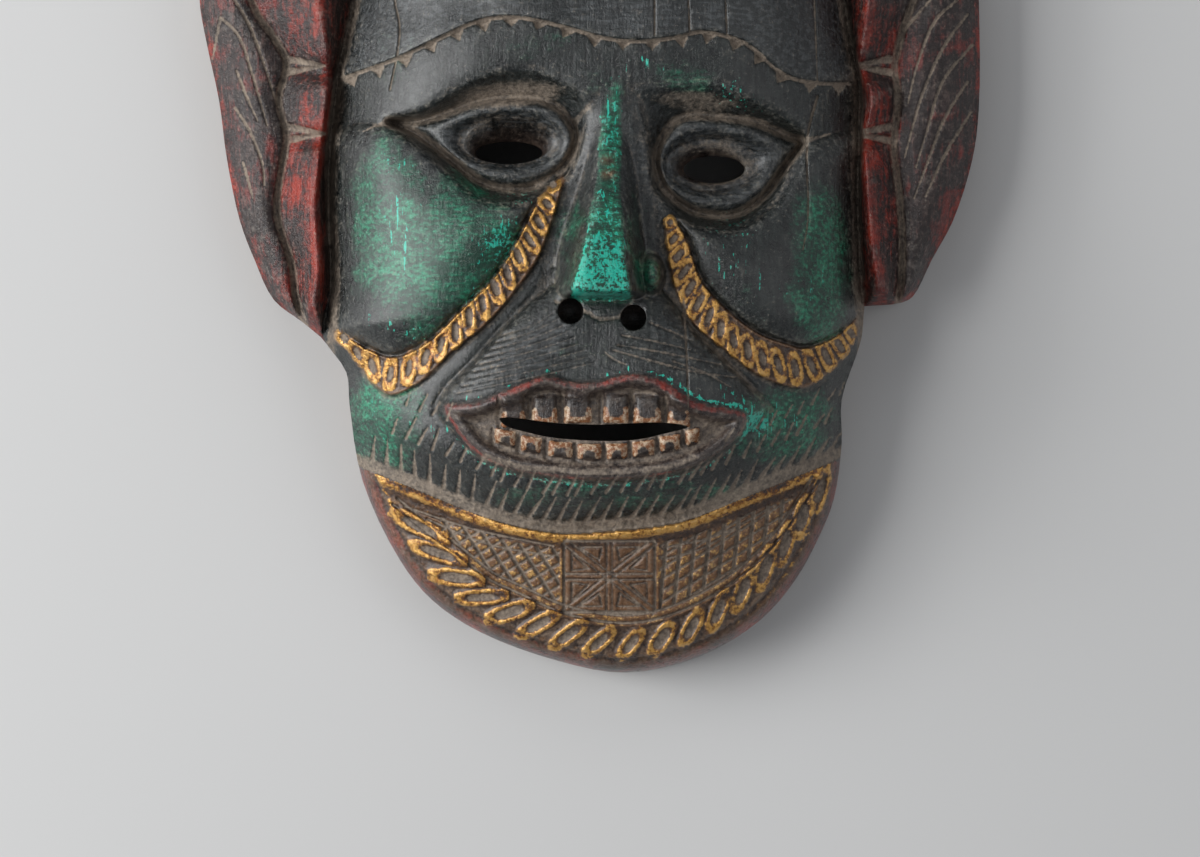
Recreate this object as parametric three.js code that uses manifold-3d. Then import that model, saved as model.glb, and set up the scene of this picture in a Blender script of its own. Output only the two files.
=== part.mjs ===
// A wooden dance mask carved from one block: a hollow face with pierced eyes and mouth,
// two broad lobed ears and a half-round beard plate. It lies face up on its flat back rim.
// Units are millimetres, +X the wearer's left, +Y the crown, +Z the way the face looks.
import * as THREE from 'three';
import { mergeVertices } from 'three/addons/utils/BufferGeometryUtils.js';
import Module from 'manifold-3d';

const wasm = await Module();
wasm.setup();

// Size of the carving field and how finely it is followed.
const FIELD = 145;          // half the side of the square that the carving is drawn on
const CELLS = 256;          // grid steps along that square, a power of two
const FRONT_TOLERANCE = 1.3;
const BACK_TOLERANCE = 1.2;

// Draft: every outline draws in toward this axis as it rises, to nothing at this height.
const DRAFT_AXIS = [3.6, -67.4];
const DRAFT_HEIGHT = 1033;

// Thicknesses and levels.
const WALL = 11.5;          // thickness of the hollowed wall
const RIM = 13;             // width of the flat back rim
const HOLLOW_SLOPE = 2.4;   // rise of the hollow's side for each millimetre inward
const EDGE_LEVEL = 14;      // height of the back of the head's rounded shoulder
const SHOULDER = 62;        // reach of that shoulder across the face
const SHOULDER_SHOWN = 0.045; // share of the reach that lies outside the side wall
const BEVEL_FOOT = 13;      // height where the beard plate's red bevel starts
const BEVEL_WIDTH = 4.5;
const EAR_LIFT = 6;         // gap under the ears' outer edge
const EAR_LIFT_FROM = 86;   // distance from the centre line where that gap starts
const EAR_FOOT = -45;       // the ears' lowest point down the face
const EAR_INNER = 66;       // the ears' nearest point to the centre line
const CAP_STEP = 1.6;
const SOCKET_DEPTH = 9;
const LID_ROLL = 4.2;
const CHEEK_RISE = 6.5;
const MUZZLE_RISE = 7;
const LIP_RISE = 2.2;
const TOOTH_RISE = 2.2;

const CROWN = { centre: [3.2, 66], radius: 76.5, from: 0.12, to: Math.PI - 0.12 };

// Outlines, as the few points that each curve passes through.
const JAW_AND_CHIN = [
  [-79.5, -24.5], [-82.5, -38], [-75, -50], [-74, -60], [-70, -83.5], [-58.5, -108], [-48.5, -120.5],
  [-33.5, -130.5], [-9, -139.5], [11.5, -143], [34.5, -138], [53, -127], [64, -114.5], [71, -102],
  [76, -89.5], [78.5, -72], [78.5, -58.5], [84.5, -40], [85.5, -30],
];
const LEFT_SIDE = [[-71.5, 78], [-72, 65.5], [-76.5, 45.5], [-78.5, 30], [-80, 12], [-80, -6]];
const RIGHT_SIDE = [[84, -24.5], [83, 3.5], [83.5, 39], [82, 47], [78.5, 65.5], [77.5, 78]];
const LEFT_EAR_EDGE = [
  [-71, 90], [-84, 99], [-99, 105], [-112, 97], [-119.5, 82], [-120.5, 65.5], [-118.5, 53], [-114.5, 34.5],
  [-112, 16], [-108, -3], [-103.5, -15], [-97.5, -27.5], [-88.5, -34.5], [-83, -39],
];
const RIGHT_EAR_EDGE = [
  [85.5, -29.5], [96.5, -28.5], [100.5, -26.5], [106.5, -15], [113, -3], [119, 16], [121, 31.5], [121, 65.5],
  [120, 82], [113, 97], [101, 105], [87, 99], [76, 90],
];

// Lines of the ears, from the bottom up: valley beside the face, crest of the ridge, dusty groove.
const LEFT_EAR = {
  side: -1,
  valley: [[-80, -45], [-79, -34], [-78.5, -21.5], [-80, 3.5], [-80, 19], [-76.5, 45.5], [-72, 65.5], [-70, 105]],
  crest: [[-82, -45], [-85.5, -32], [-84, -18.5], [-85, 3.5], [-83, 21.5], [-81.5, 34.5], [-81, 46],
    [-84, 65.5], [-84, 105]],
  groove: [[-84, -45], [-90.5, -27.5], [-92, -16], [-96.5, -1], [-94.5, 16], [-93.5, 23.5], [-96, 34.5],
    [-93.5, 46], [-97, 53], [-104.5, 65.5], [-104, 105]],
};
const RIGHT_EAR = {
  side: 1,
  valley: [[85, -45], [84, -24.5], [83, 3.5], [83.5, 39], [82, 47], [78.5, 65.5], [76, 105]],
  crest: [[88, -45], [91, -26], [89, -15], [87, 3.5], [86, 22], [88, 36], [84.5, 44.5], [87.5, 65.5], [88, 105]],
  groove: [[92, -45], [97, -21.5], [96.5, 3.5], [94.5, 20.5], [96, 34.5], [95, 44.5], [96.5, 53], [102, 70],
    [104, 105]],
};
const EAR_LEVELS = { valley: 25, crest: 38, groove: 27, edge: 19, flange: 3.5, rounding: 10 };
const EAR_NOTCHES = { at: [43, 22], depth: 6, width: 3.2 };

// Lines of the face.
const CAP_LINE = [
  [-80, 40], [-75, 41.5], [-58.5, 47.5], [-46, 53.5], [-33.5, 59], [-23, 60], [-13.5, 58.5], [-4, 56],
  [5, 53.5], [16, 52.5], [28.5, 54], [34.5, 55.5], [48.5, 52], [61, 42], [72, 39.5], [90, 40],
];
const EYES = [
  {
    socket: [[-63, 28], [-52, 31.5], [-43, 37.5], [-33.5, 43], [-24.5, 45.5], [-15, 44.5], [-5.5, 40.5], [1, 35],
      [-1, 22], [-7, 8], [-15, 3], [-24, 1.5], [-34, 3.5], [-42, 10], [-50, 17], [-57, 23]],
    almond: [[-62.5, 27.5], [-54, 27.5], [-46, 29.5], [-33.5, 34], [-21, 35], [-13.5, 34], [-8, 30.5], [-4, 22.5],
      [-8, 13.5], [-14, 9], [-21, 7], [-32, 8.5], [-43, 16.5], [-54, 24.5]],
    rim: { u: -25.2, v: 21.7, a: 14.8, b: 7.2 },
    throat: { u: -24.6, v: 18, a: 10.4, b: 3.5 },
  },
  {
    socket: [[11.5, 38], [19, 39.5], [37.5, 41], [45.5, 39.5], [53, 34.5], [60, 30.5], [68, 23], [63, 13],
      [60, 6], [54, -1], [45.5, -6], [34, -5.5], [26, -1], [20, 6], [18, 18], [14, 30]],
    almond: [[66.5, 21.5], [62.5, 22.8], [51.5, 27.5], [41, 29], [31.5, 29.5], [26, 27], [21, 17], [23, 8],
      [28.5, 2.5], [34.5, -0.5], [45.5, -1], [54.5, 5], [58.5, 10.5], [62.5, 16]],
    rim: { u: 38.3, v: 14.5, a: 13.8, b: 8 },
    throat: { u: 38.9, v: 12.9, a: 9.4, b: 4.2 },
  },
];
const CHEEKS = [
  [[-77, 24], [-66, 27], [-55, 22], [-44, 13], [-34, 5], [-22, 3.5], [-12, 7], [-15, 5], [-19.5, -3.5],
    [-25, -13.5], [-30.5, -21.5], [-40, -30.5], [-49, -39.5], [-58.5, -44.5], [-63, -44.5], [-72.5, -40],
    [-80, -34], [-80, -6]],
  [[82, 24], [70, 21], [64, 11], [57, 1], [46, -5], [35, -4.5], [27, -1.5], [31, -9], [33, -15],
    [35.5, -21.5], [43, -30], [53, -37.5], [62.5, -41], [67, -42], [76.5, -38.5], [84, -31.5], [84, -6]],
];
const CHEEK_BANDS = [
  { upper: [[-79, -35.5], [-72.5, -40], [-63, -44.5], [-58.5, -44.5], [-49, -39.5], [-40, -30.5],
    [-30.5, -21.5], [-25, -13.5], [-19.5, -3.5], [-15, 5], [-8, 12]],
  lower: [[-7, 9.5], [-10.5, -3], [-15, -14.5], [-23, -26], [-32, -36], [-41.5, -43.5], [-52, -53.5],
    [-61.5, -57.5], [-67.5, -53.5], [-74, -44.5], [-80, -40]] },
  { upper: [[84, -31.5], [76.5, -38.5], [67, -42], [62.5, -41], [53, -37.5], [43, -30], [35.5, -21.5],
    [33, -15], [31, -9], [26, -0.5]],
  lower: [[23, -3], [24, -12], [26, -23], [31.5, -34.5], [41.5, -43], [52, -51], [62.5, -55], [68, -55],
    [78, -47.5], [85, -37]] },
];
const MUZZLE = [
  [-9, -22], [-15, -26], [-27.5, -37], [-36.5, -47], [-44.5, -55.5], [-47, -61], [-41.5, -69], [-35, -76],
  [-24.5, -81], [-10.5, -83.5], [3.5, -84.5], [22, -83], [34.5, -79.5], [44, -73.5], [52, -66], [56.5, -60],
  [48.5, -52.5], [41, -44.5], [31.5, -35.5], [22, -24], [8, -22],
];
const MOUTH = [
  [-45.5, -60], [-36.5, -59], [-24.5, -54.5], [-13.5, -50.5], [-4, -52.5], [3.5, -52], [13, -50], [22, -51.5],
  [34.5, -59], [49, -62.5], [49, -66.5], [44, -73], [34.5, -79], [22, -82.5], [3.5, -84], [-10.5, -83],
  [-24.5, -80.5], [-35, -75.5], [-41.5, -68],
];
const SLIT = [
  [-27.5, -64.2], [-9, -65.8], [3.5, -66.2], [23.5, -65.6], [31, -66.9], [23.5, -69], [16, -70.7],
  [6.5, -71.3], [-10.5, -70.3], [-18, -68.8], [-26, -66.3],
];
const UPPER_TEETH = {
  spans: [[-27, -19.5], [-17.5, -9.5], [-7.5, 1], [4.5, 12.5], [14, 22.5], [24.5, 31.5]],
  root: -56.5, edge: -65.6, bow: -0.002 };
const LOWER_TEETH = {
  spans: [[-29, -22.5], [-21, -14.5], [-12.5, -5], [-3.5, 4], [5.5, 12], [13.5, 20.5], [22, 28.5], [30, 34.5]],
  root: -77.2, edge: -72.2, bow: 0.0055 };
const BEARD_LINE = [
  [-72, -79], [-63, -82.5], [-46, -89.5], [-27.5, -96.5], [-9, -100], [3.5, -99.5], [28.5, -96.5], [47, -89.5],
  [65.5, -82], [80, -76],
];
const BEARD_RIM = { width: 2.8, rise: 2 };
const BEARD_LEVEL = { edge: 26, rise: 19, reach: 43 };

// Nose: where its four long edges stand at each height down the face, and the height of its ridge.
const NOSE = {
  v: [-30, -23, -15, -3, 9.5, 22, 36, 44],
  baseLeft: [-12, -12, -13, -10.5, -6.5, -3, -1, 1],
  ridge: [-5.5, -5, -2.5, 0, 2.5, 3.5, 5, 6],
  shoulder: [14, 13, 11.5, 10.5, 10, 10, 10, 10],
  baseRight: [21, 22, 21, 20, 19.5, 18.5, 15, 13],
  level: [79, 78.5, 76, 71.5, 66.5, 62, 59, 57],
  foot: 49,
  tipFrom: -24.5,
  tipTo: -29.5,
};
const NOSTRILS = [[-5.5, -31], [14, -33]];
const NOSTRIL = { radius: 4.7, bottom: 51 };
const RIGHT_ALA = { u: 19.5, v: -20, a: 4.5, b: 7.5, level: 67 };

// Height of the forehead, face and chin along the middle, before any feature is added.
const MIDDLE = { v: [-143, -115, -86, -50, -20, 10, 35, 55, 80, 110, 143],
  level: [48, 52, 56, 57, 56, 56, 59, 61, 60, 57, 52] };
const CHIN_FALL = { depth: 10, reach: 17 };

const smooth = (a, b, x) => THREE.MathUtils.smoothstep((x - a) / (b - a), 0, 1);
const mix = THREE.MathUtils.lerp;
const bell = (x, width) => Math.exp(-((x / width) ** 2));
const dome = (x) => Math.sqrt(1 - (1 - Math.min(Math.max(x, 0), 1)) ** 2);

// Value at x of the straight-line graph through (xs, ys), with xs rising.
function graph(xs, ys, x) {
  let i = 1;
  while (i < xs.length - 1 && x > xs[i]) i++;
  const t = THREE.MathUtils.clamp((x - xs[i - 1]) / (xs[i] - xs[i - 1]), 0, 1);
  return mix(ys[i - 1], ys[i], t);
}

const curve = (points, closed = false) => {
  const spline = new THREE.CatmullRomCurve3(points.map(([u, v]) => new THREE.Vector3(u, v, 0)), closed,
    'centripetal');
  return spline.getPoints(points.length * 4).map((p) => [p.x, p.y]);
};
const heightTable = (points) => {
  const line = curve(points);
  return { v: line.map((p) => p[1]), u: line.map((p) => p[0]) };
};

// Distance from (u, v) to a polyline, and the side it lies on.
function nearest(line, u, v) {
  let best = Infinity;
  let side = 0;
  for (let i = 1; i < line.length; i++) {
    const [au, av] = line[i - 1];
    const du = line[i][0] - au;
    const dv = line[i][1] - av;
    const t = Math.min(Math.max(((u - au) * du + (v - av) * dv) / (du * du + dv * dv || 1), 0), 1);
    const eu = u - au - t * du;
    const ev = v - av - t * dv;
    const square = eu * eu + ev * ev;
    if (square < best) {
      best = square;
      side = du * ev - dv * eu;
    }
  }
  return { distance: Math.sqrt(best), side };
}

function isInside(loop, u, v) {
  let inside = false;
  for (let i = 0, j = loop.length - 1; i < loop.length; j = i++) {
    const [iu, iv] = loop[i];
    const [ju, jv] = loop[j];
    if (iv > v !== jv > v && u < ((ju - iu) * (v - iv)) / (jv - iv) + iu) inside = !inside;
  }
  return inside;
}

// A closed region: depth is the distance in from its edge, negative outside.
function region(loop) {
  const closed = [...loop, loop[0]];
  const box = new THREE.Box2().setFromPoints(loop.map(([u, v]) => new THREE.Vector2(u, v)));
  return {
    loop,
    box,
    depth: (u, v) => nearest(closed, u, v).distance * (isInside(loop, u, v) ? 1 : -1),
  };
}

const crownArc = Array.from({ length: 29 }, (_, i) => {
  const angle = mix(CROWN.from, CROWN.to, i / 28);
  return [CROWN.centre[0] + CROWN.radius * Math.cos(angle), CROWN.centre[1] + CROWN.radius * Math.sin(angle)];
});
const head = region([...curve(LEFT_SIDE).slice(1), ...curve(JAW_AND_CHIN), ...curve(RIGHT_SIDE), ...crownArc]);
const crownBetweenEars = crownArc.filter(([, v]) => v > 92);
const outline = region([
  ...curve(LEFT_EAR_EDGE),
  ...curve(JAW_AND_CHIN).filter(([, v]) => v < -40 || (v < -31 && v > -39)).filter(([u, v]) => u > 0 || v < -40),
  ...curve(RIGHT_EAR_EDGE),
  ...crownBetweenEars,
]);
const eyes = EYES.map((eye) => ({ ...eye, socket: region(curve(eye.socket, true)),
  almond: region(curve(eye.almond, true)) }));
const cheeks = CHEEKS.map((points) => region(curve(points, true)));
const bands = CHEEK_BANDS.map(({ upper, lower }) => region([...curve(upper), ...curve(lower)]));
const muzzle = region(curve(MUZZLE, true));
const mouth = region(curve(MOUTH, true));
const beardLine = curve(BEARD_LINE);
const capLine = curve(CAP_LINE);
const ears = [LEFT_EAR, RIGHT_EAR].map((ear) => ({
  side: ear.side,
  valley: heightTable(ear.valley),
  crest: heightTable(ear.crest),
  groove: heightTable(ear.groove),
}));

const nearBox = (box, u, v, margin) => u > box.min.x - margin && u < box.max.x + margin
  && v > box.min.y - margin && v < box.max.y + margin;

// The plain head: a rounded pillow inside its outline, falling away over the chin.
function headForm(u, v, depth) {
  const above = nearest(beardLine, u, v);
  const gap = above.side > 0 ? above.distance : 0;
  const fall = v < -60 ? CHIN_FALL.depth * (1 - smooth(0, CHIN_FALL.reach, gap)) : 0;
  const level = graph(MIDDLE.v, MIDDLE.level, v) - fall;
  const face = EDGE_LEVEL + (level - EDGE_LEVEL) * dome(Math.max(depth, 0) / SHOULDER + SHOULDER_SHOWN);
  const cap = nearest(capLine, u, v);
  const signed = cap.side > 0 ? cap.distance : -cap.distance;
  return face + CAP_STEP * smooth(-0.6, 0.6, signed);
}

// The beard plate slopes out from its raised gold rim to a rounded bevel.
function beardForm(z, u, v, depth) {
  if (v > -60) return z;
  const line = nearest(beardLine, u, v);
  if (line.side > 0) return z;
  const slope = BEARD_LEVEL.edge + BEARD_LEVEL.rise * Math.min(Math.max(depth, 0) / BEARD_LEVEL.reach, 1);
  const bevel = BEVEL_FOOT + (BEARD_LEVEL.edge - BEVEL_FOOT) * dome(0.08 + depth / BEVEL_WIDTH);
  const plate = depth < BEVEL_WIDTH ? Math.min(bevel, slope) : slope;
  const rim = BEARD_RIM.rise * (1 - smooth(BEARD_RIM.width * 0.8, BEARD_RIM.width * 1.2, line.distance));
  return plate + rim * smooth(0, BEVEL_WIDTH, depth);
}

// Each socket falls from the brow crease to the almond groove, and the lid rolls up round the hole.
function eyeForm(z, u, v) {
  let result = z;
  for (const { socket, almond, rim } of eyes) {
    if (!nearBox(socket.box, u, v, 0)) continue;
    const inSocket = socket.depth(u, v);
    if (inSocket <= 0) continue;
    const inAlmond = almond.depth(u, v);
    const fall = inAlmond >= 0 ? 1 : inSocket / (inSocket - inAlmond);
    const ratio = Math.hypot((u - rim.u) / rim.a, (v - rim.v) / rim.b);
    const fromHole = Math.max((ratio - 1) * rim.b, 0);
    const across = inAlmond > 0 ? inAlmond / (inAlmond + fromHole) : 0;
    result -= SOCKET_DEPTH * smooth(0, 1, fall) - LID_ROLL * 4 * across * (1 - across);
  }
  return result;
}

function cheekForm(z, u, v) {
  let result = z;
  for (const cheek of cheeks) {
    if (nearBox(cheek.box, u, v, 0)) result += CHEEK_RISE * dome(cheek.depth(u, v) / 20);
  }
  for (const band of bands) {
    if (nearBox(band.box, u, v, 0)) result += 1.8 * smooth(0, 1.2, band.depth(u, v));
  }
  return result;
}

// Nose: a flat-topped wedge with steep flanks, cut off square above the nostrils.
function noseForm(z, u, v) {
  if (v < -31 || v > 44 || u < -16 || u > 27) return z;
  const at = (values) => graph(NOSE.v, values, v);
  const [left, ridge, shoulder, right] = [NOSE.baseLeft, NOSE.ridge, NOSE.shoulder, NOSE.baseRight].map(at);
  let profile = 1;
  if (u < ridge) profile = Math.max((u - left + 2) / (ridge - left + 2), 0) ** 1.5;
  if (u > shoulder) profile = 1 - smooth(shoulder - 1, right + 1, u);
  const across = THREE.MathUtils.clamp((u - ridge) / (shoulder - ridge), 0, 1);
  const tip = smooth(NOSE.tipTo, NOSE.tipFrom, v);
  const nose = NOSE.foot + (at(NOSE.level) - 2.5 * across - NOSE.foot) * profile * tip;
  const ratio = Math.hypot((u - RIGHT_ALA.u) / RIGHT_ALA.a, (v - RIGHT_ALA.v) / RIGHT_ALA.b);
  const ala = ratio < 1 ? NOSE.foot + (RIGHT_ALA.level - NOSE.foot) * Math.sqrt(1 - ratio * ratio) : 0;
  return Math.max(z, nose, ala);
}

// A row of blunt teeth, 0 to 1, each a little narrower at the gum than at its biting edge.
function teeth(row, u, v) {
  const down = (v - row.bow * (u - 3) ** 2 - row.root) / (row.edge - row.root);
  if (down <= 0 || down >= 1) return 0;
  const end = Math.min(down, 1 - down) * Math.abs(row.edge - row.root);
  let rise = 0;
  for (const [start, stop] of row.spans) {
    const side = (stop - start) / 2 - 0.5 + 0.5 * down - Math.abs(u - (start + stop) / 2);
    rise = Math.max(rise, dome(Math.min(side, end) / 1.6));
  }
  return rise;
}

function mouthForm(z, u, v) {
  let result = z;
  if (nearBox(muzzle.box, u, v, 0)) result += MUZZLE_RISE * dome(muzzle.depth(u, v) / 17);
  if (!nearBox(mouth.box, u, v, 0)) return result;
  const depth = mouth.depth(u, v);
  if (depth <= 0) return result;
  const lip = LIP_RISE * bell(depth - 2.4, 2);
  const inner = 2.6 * smooth(3, 6.5, depth);
  return result + lip - inner + TOOTH_RISE * (teeth(UPPER_TEETH, u, v) + 0.8 * teeth(LOWER_TEETH, u, v));
}

// Ears: valley, lobed ridge, groove and flange, set out across each level of the ear.
function earForm(u, v) {
  const ear = ears[u < 0 ? 0 : 1];
  const across = (table) => ear.side * graph(table.v, table.u, v);
  const out = ear.side * u;
  const [valley, crest, groove] = [ear.valley, ear.crest, ear.groove].map(across);
  const fromEdge = Math.max(outline.depth(u, v), 0);
  const notch = EAR_NOTCHES.at.reduce((sum, at) => sum + bell(v - at, EAR_NOTCHES.width), 0);
  const top = EAR_LEVELS.crest - EAR_NOTCHES.depth * notch;
  let z = EAR_LEVELS.valley;
  if (out > valley) z = mix(EAR_LEVELS.valley, top, smooth(valley, crest, out));
  if (out > crest) z = mix(top, EAR_LEVELS.groove, Math.min((out - crest) / Math.max(groove - crest, 1), 1));
  if (out > groove) {
    const share = (out - groove) / (out - groove + fromEdge);
    z = mix(EAR_LEVELS.groove, EAR_LEVELS.edge, share ** 2) + EAR_LEVELS.flange * 4 * share * (1 - share);
  }
  const cap = EAR_LEVELS.edge - 4 + (top - EAR_LEVELS.edge + 4) * dome(0.1 + fromEdge / EAR_LEVELS.rounding);
  return Math.min(z, cap);
}

// Height of the front surface over the back plane.
function front(u, v) {
  const depth = nearBox(head.box, u, v, 6) ? head.depth(u, v) : -20;
  if (depth <= 0 && v > EAR_FOOT && Math.abs(u) > EAR_INNER) return earForm(u, v);
  let z = headForm(u, v, depth);
  if (depth <= 0) return beardForm(z, u, v, depth);
  z = eyeForm(z, u, v);
  z = cheekForm(z, u, v);
  z = mouthForm(z, u, v);
  z = noseForm(z, u, v);
  return beardForm(z, u, v, depth);
}

const side = CELLS + 1;
const step = (2 * FIELD) / CELLS;
const place = (i) => i * step - FIELD;

function sampled(height) {
  const heights = new Float64Array(side * side);
  for (let j = 0; j < side; j++) {
    for (let i = 0; i < side; i++) heights[j * side + i] = height(place(i), place(j), i, j);
  }
  return heights;
}

// Ends of the long side and the right-angle corner of triangle number id in the halving tree.
function treeTriangle(id) {
  let [ax, ay, bx, by, cx, cy] = id & 1 ? [0, 0, CELLS, CELLS, CELLS, 0] : [CELLS, CELLS, 0, 0, 0, CELLS];
  for (let rest = id >> 1; rest > 1; rest >>= 1) {
    const mx = (ax + bx) >> 1;
    const my = (ay + by) >> 1;
    [ax, ay, bx, by] = rest & 1 ? [cx, cy, ax, ay] : [bx, by, cx, cy];
    [cx, cy] = [mx, my];
  }
  return [ax, ay, bx, by, cx, cy];
}

// How far each midpoint strays from the straight line, counting the finer ones below it.
function strayErrors(heights, weight) {
  const errors = new Float64Array(side * side);
  const count = CELLS * CELLS * 2 - 2;
  const parents = count - CELLS * CELLS;
  for (let i = count - 1; i >= 0; i--) {
    const [ax, ay, bx, by, cx, cy] = treeTriangle(i + 2);
    const mx = (ax + bx) >> 1;
    const my = (ay + by) >> 1;
    const middle = my * side + mx;
    const line = (heights[ay * side + ax] + heights[by * side + bx]) / 2;
    const stray = weight[middle] * Math.abs(heights[middle] - line);
    errors[middle] = Math.max(errors[middle], stray);
    if (i < parents) {
      const left = ((ay + cy) >> 1) * side + ((ax + cx) >> 1);
      const right = ((by + cy) >> 1) * side + ((bx + cx) >> 1);
      errors[middle] = Math.max(errors[middle], errors[left], errors[right]);
    }
  }
  return errors;
}

// Triangles (as grid corners) that follow the heights to within the tolerance.
function adaptiveTriangles(errors, tolerance) {
  const triangles = [];
  const split = (ax, ay, bx, by, cx, cy) => {
    const mx = (ax + bx) >> 1;
    const my = (ay + by) >> 1;
    if (Math.abs(ax - cx) + Math.abs(ay - cy) > 1 && errors[my * side + mx] > tolerance) {
      split(cx, cy, ax, ay, mx, my);
      split(bx, by, cx, cy, mx, my);
    } else {
      triangles.push([ay * side + ax, cy * side + cx, by * side + bx]);
    }
  };
  split(0, 0, CELLS, CELLS, CELLS, 0);
  split(CELLS, CELLS, 0, 0, 0, CELLS);
  return triangles;
}

function solid(geometry) {
  geometry.deleteAttribute('normal');
  geometry.deleteAttribute('uv');
  const merged = mergeVertices(geometry, 1e-5);
  return new wasm.Manifold(new wasm.Mesh({ numProp: 3,
    vertProperties: new Float32Array(merged.attributes.position.array),
    triVerts: new Uint32Array(merged.index.array) }));
}

function fromCorners(corners) {
  const geometry = new THREE.BufferGeometry();
  geometry.setAttribute('position', new THREE.Float32BufferAttribute(corners.flat(), 3));
  return solid(geometry);
}

// A closed block over the whole field: the height surface on top, straight sides and a flat bottom.
function block(heights, weight, tolerance, bottom) {
  const column = (k) => k % side;
  const row = (k) => Math.floor(k / side);
  const top = (k) => [place(column(k)), place(row(k)), heights[k]];
  const low = (k) => [place(column(k)), place(row(k)), bottom];
  const onBorder = (a, b) => [0, CELLS].some((line) => (column(a) === line && column(b) === line)
    || (row(a) === line && row(b) === line));
  const corners = [];
  for (const [a, b, c] of adaptiveTriangles(strayErrors(heights, weight), tolerance)) {
    corners.push(top(a), top(b), top(c));
    for (const [from, to] of [[a, b], [b, c], [c, a]]) {
      if (!onBorder(from, to)) continue;
      corners.push(top(to), top(from), low(from), top(to), low(from), low(to));
      corners.push([0, 0, bottom], low(to), low(from));
    }
  }
  return fromCorners(corners);
}

function prism(loop, from, to) {
  const shape = new THREE.Shape(loop.map(([u, v]) => new THREE.Vector2(u, v)));
  const geometry = new THREE.ExtrudeGeometry(shape, { depth: to - from, bevelEnabled: false });
  return solid(geometry.translate(0, 0, from));
}

// A bore through stacked ellipses, each { z, u, v, a, b }.
function bore(sections, around = 28) {
  const ring = ({ z, u, v, a, b }) => Array.from({ length: around }, (_, i) => {
    const angle = (2 * Math.PI * i) / around;
    return [u + a * Math.cos(angle), v + b * Math.sin(angle), z];
  });
  const rings = sections.map(ring);
  const middle = ({ u, v, z }) => [u, v, z];
  const corners = [];
  for (let k = 0; k < around; k++) {
    const n = (k + 1) % around;
    corners.push(middle(sections[0]), rings[0][n], rings[0][k]);
    corners.push(middle(sections.at(-1)), rings.at(-1)[k], rings.at(-1)[n]);
    for (let i = 1; i < rings.length; i++) {
      corners.push(rings[i - 1][k], rings[i - 1][n], rings[i][n], rings[i - 1][k], rings[i][n], rings[i][k]);
    }
  }
  return fromCorners(corners);
}

// Ceiling of the hollow: a ball of the wall's thickness rolled under the front surface.
function hollowCeiling(heights) {
  const reach = Math.ceil(WALL / step);
  const ball = [];
  for (let j = -reach; j <= reach; j++) {
    for (let i = -reach; i <= reach; i++) {
      const flat = Math.hypot(i, j) * step;
      if (flat <= WALL) ball.push([i, j, Math.sqrt(WALL * WALL - flat * flat)]);
    }
  }
  return sampled((u, v, i, j) => {
    const depth = nearBox(head.box, u, v, 0) ? head.depth(u, v) : -20;
    const sideRise = (depth - RIM) * HOLLOW_SLOPE;
    if (sideRise < -8) return -8;
    let ceiling = sideRise;
    for (const [di, dj, rise] of ball) {
      const k = (j + dj) * side + i + di;
      if (k >= 0 && k < heights.length) ceiling = Math.min(ceiling, heights[k] - rise);
    }
    return ceiling;
  });
}

function softened(heights, passes) {
  let current = heights;
  for (let pass = 0; pass < passes; pass++) {
    const from = current;
    current = sampled((u, v, i, j) => {
      const k = j * side + i;
      if (i < 2 || j < 2 || i > CELLS - 2 || j > CELLS - 2) return from[k];
      return (from[k] * 4 + (from[k - 2] + from[k + 2] + from[k - 2 * side] + from[k + 2 * side]) * 2) / 12;
    });
  }
  return current;
}

function eyeBore({ rim, throat }) {
  return bore([
    { z: 2, ...throat, a: throat.a + 2.5, b: throat.b + 1.5 },
    { z: 36, ...throat, a: throat.a + 0.6, b: throat.b + 0.6 },
    { z: 39.5, ...throat },
    { z: 42, ...throat },
    { z: 49.5, ...rim },
    { z: 90, ...rim },
  ]);
}

function earLiftWedge(sign) {
  const inner = sign * EAR_LIFT_FROM;
  const outer = sign * 130;
  const shape = new THREE.Shape([[inner, -1], [outer, -1], [outer, EAR_LIFT * 1.25], [inner, 0]]
    .map(([u, z]) => new THREE.Vector2(u, z)));
  const geometry = new THREE.ExtrudeGeometry(shape, { depth: 2 * FIELD, bevelEnabled: false });
  geometry.rotateX(Math.PI / 2).translate(0, FIELD, 0);
  return solid(geometry);
}

function carvedMask() {
  const heights = sampled(front);
  const weight = sampled((u, v) => smooth(-3, 10, outline.depth(u, v)));
  let body = block(heights, weight, FRONT_TOLERANCE, 0).intersect(prism(outline.loop, -1, 120));
  const ceiling = softened(hollowCeiling(heights), 6);
  const hollowArea = ceiling.map((z) => (z > -3 ? 1 : 0));
  body = body.subtract(block(ceiling, hollowArea, BACK_TOLERANCE, -12));
  for (const eye of eyes) body = body.subtract(eyeBore(eye));
  body = body.subtract(prism(curve(SLIT, true), 3, 110));
  for (const [u, v] of NOSTRILS) {
    const hole = { u, v, a: NOSTRIL.radius, b: NOSTRIL.radius };
    body = body.subtract(bore([{ z: NOSTRIL.bottom, ...hole }, { z: 95, ...hole }], 16));
  }
  for (const sign of [-1, 1]) body = body.subtract(earLiftWedge(sign));
  return body;
}

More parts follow.
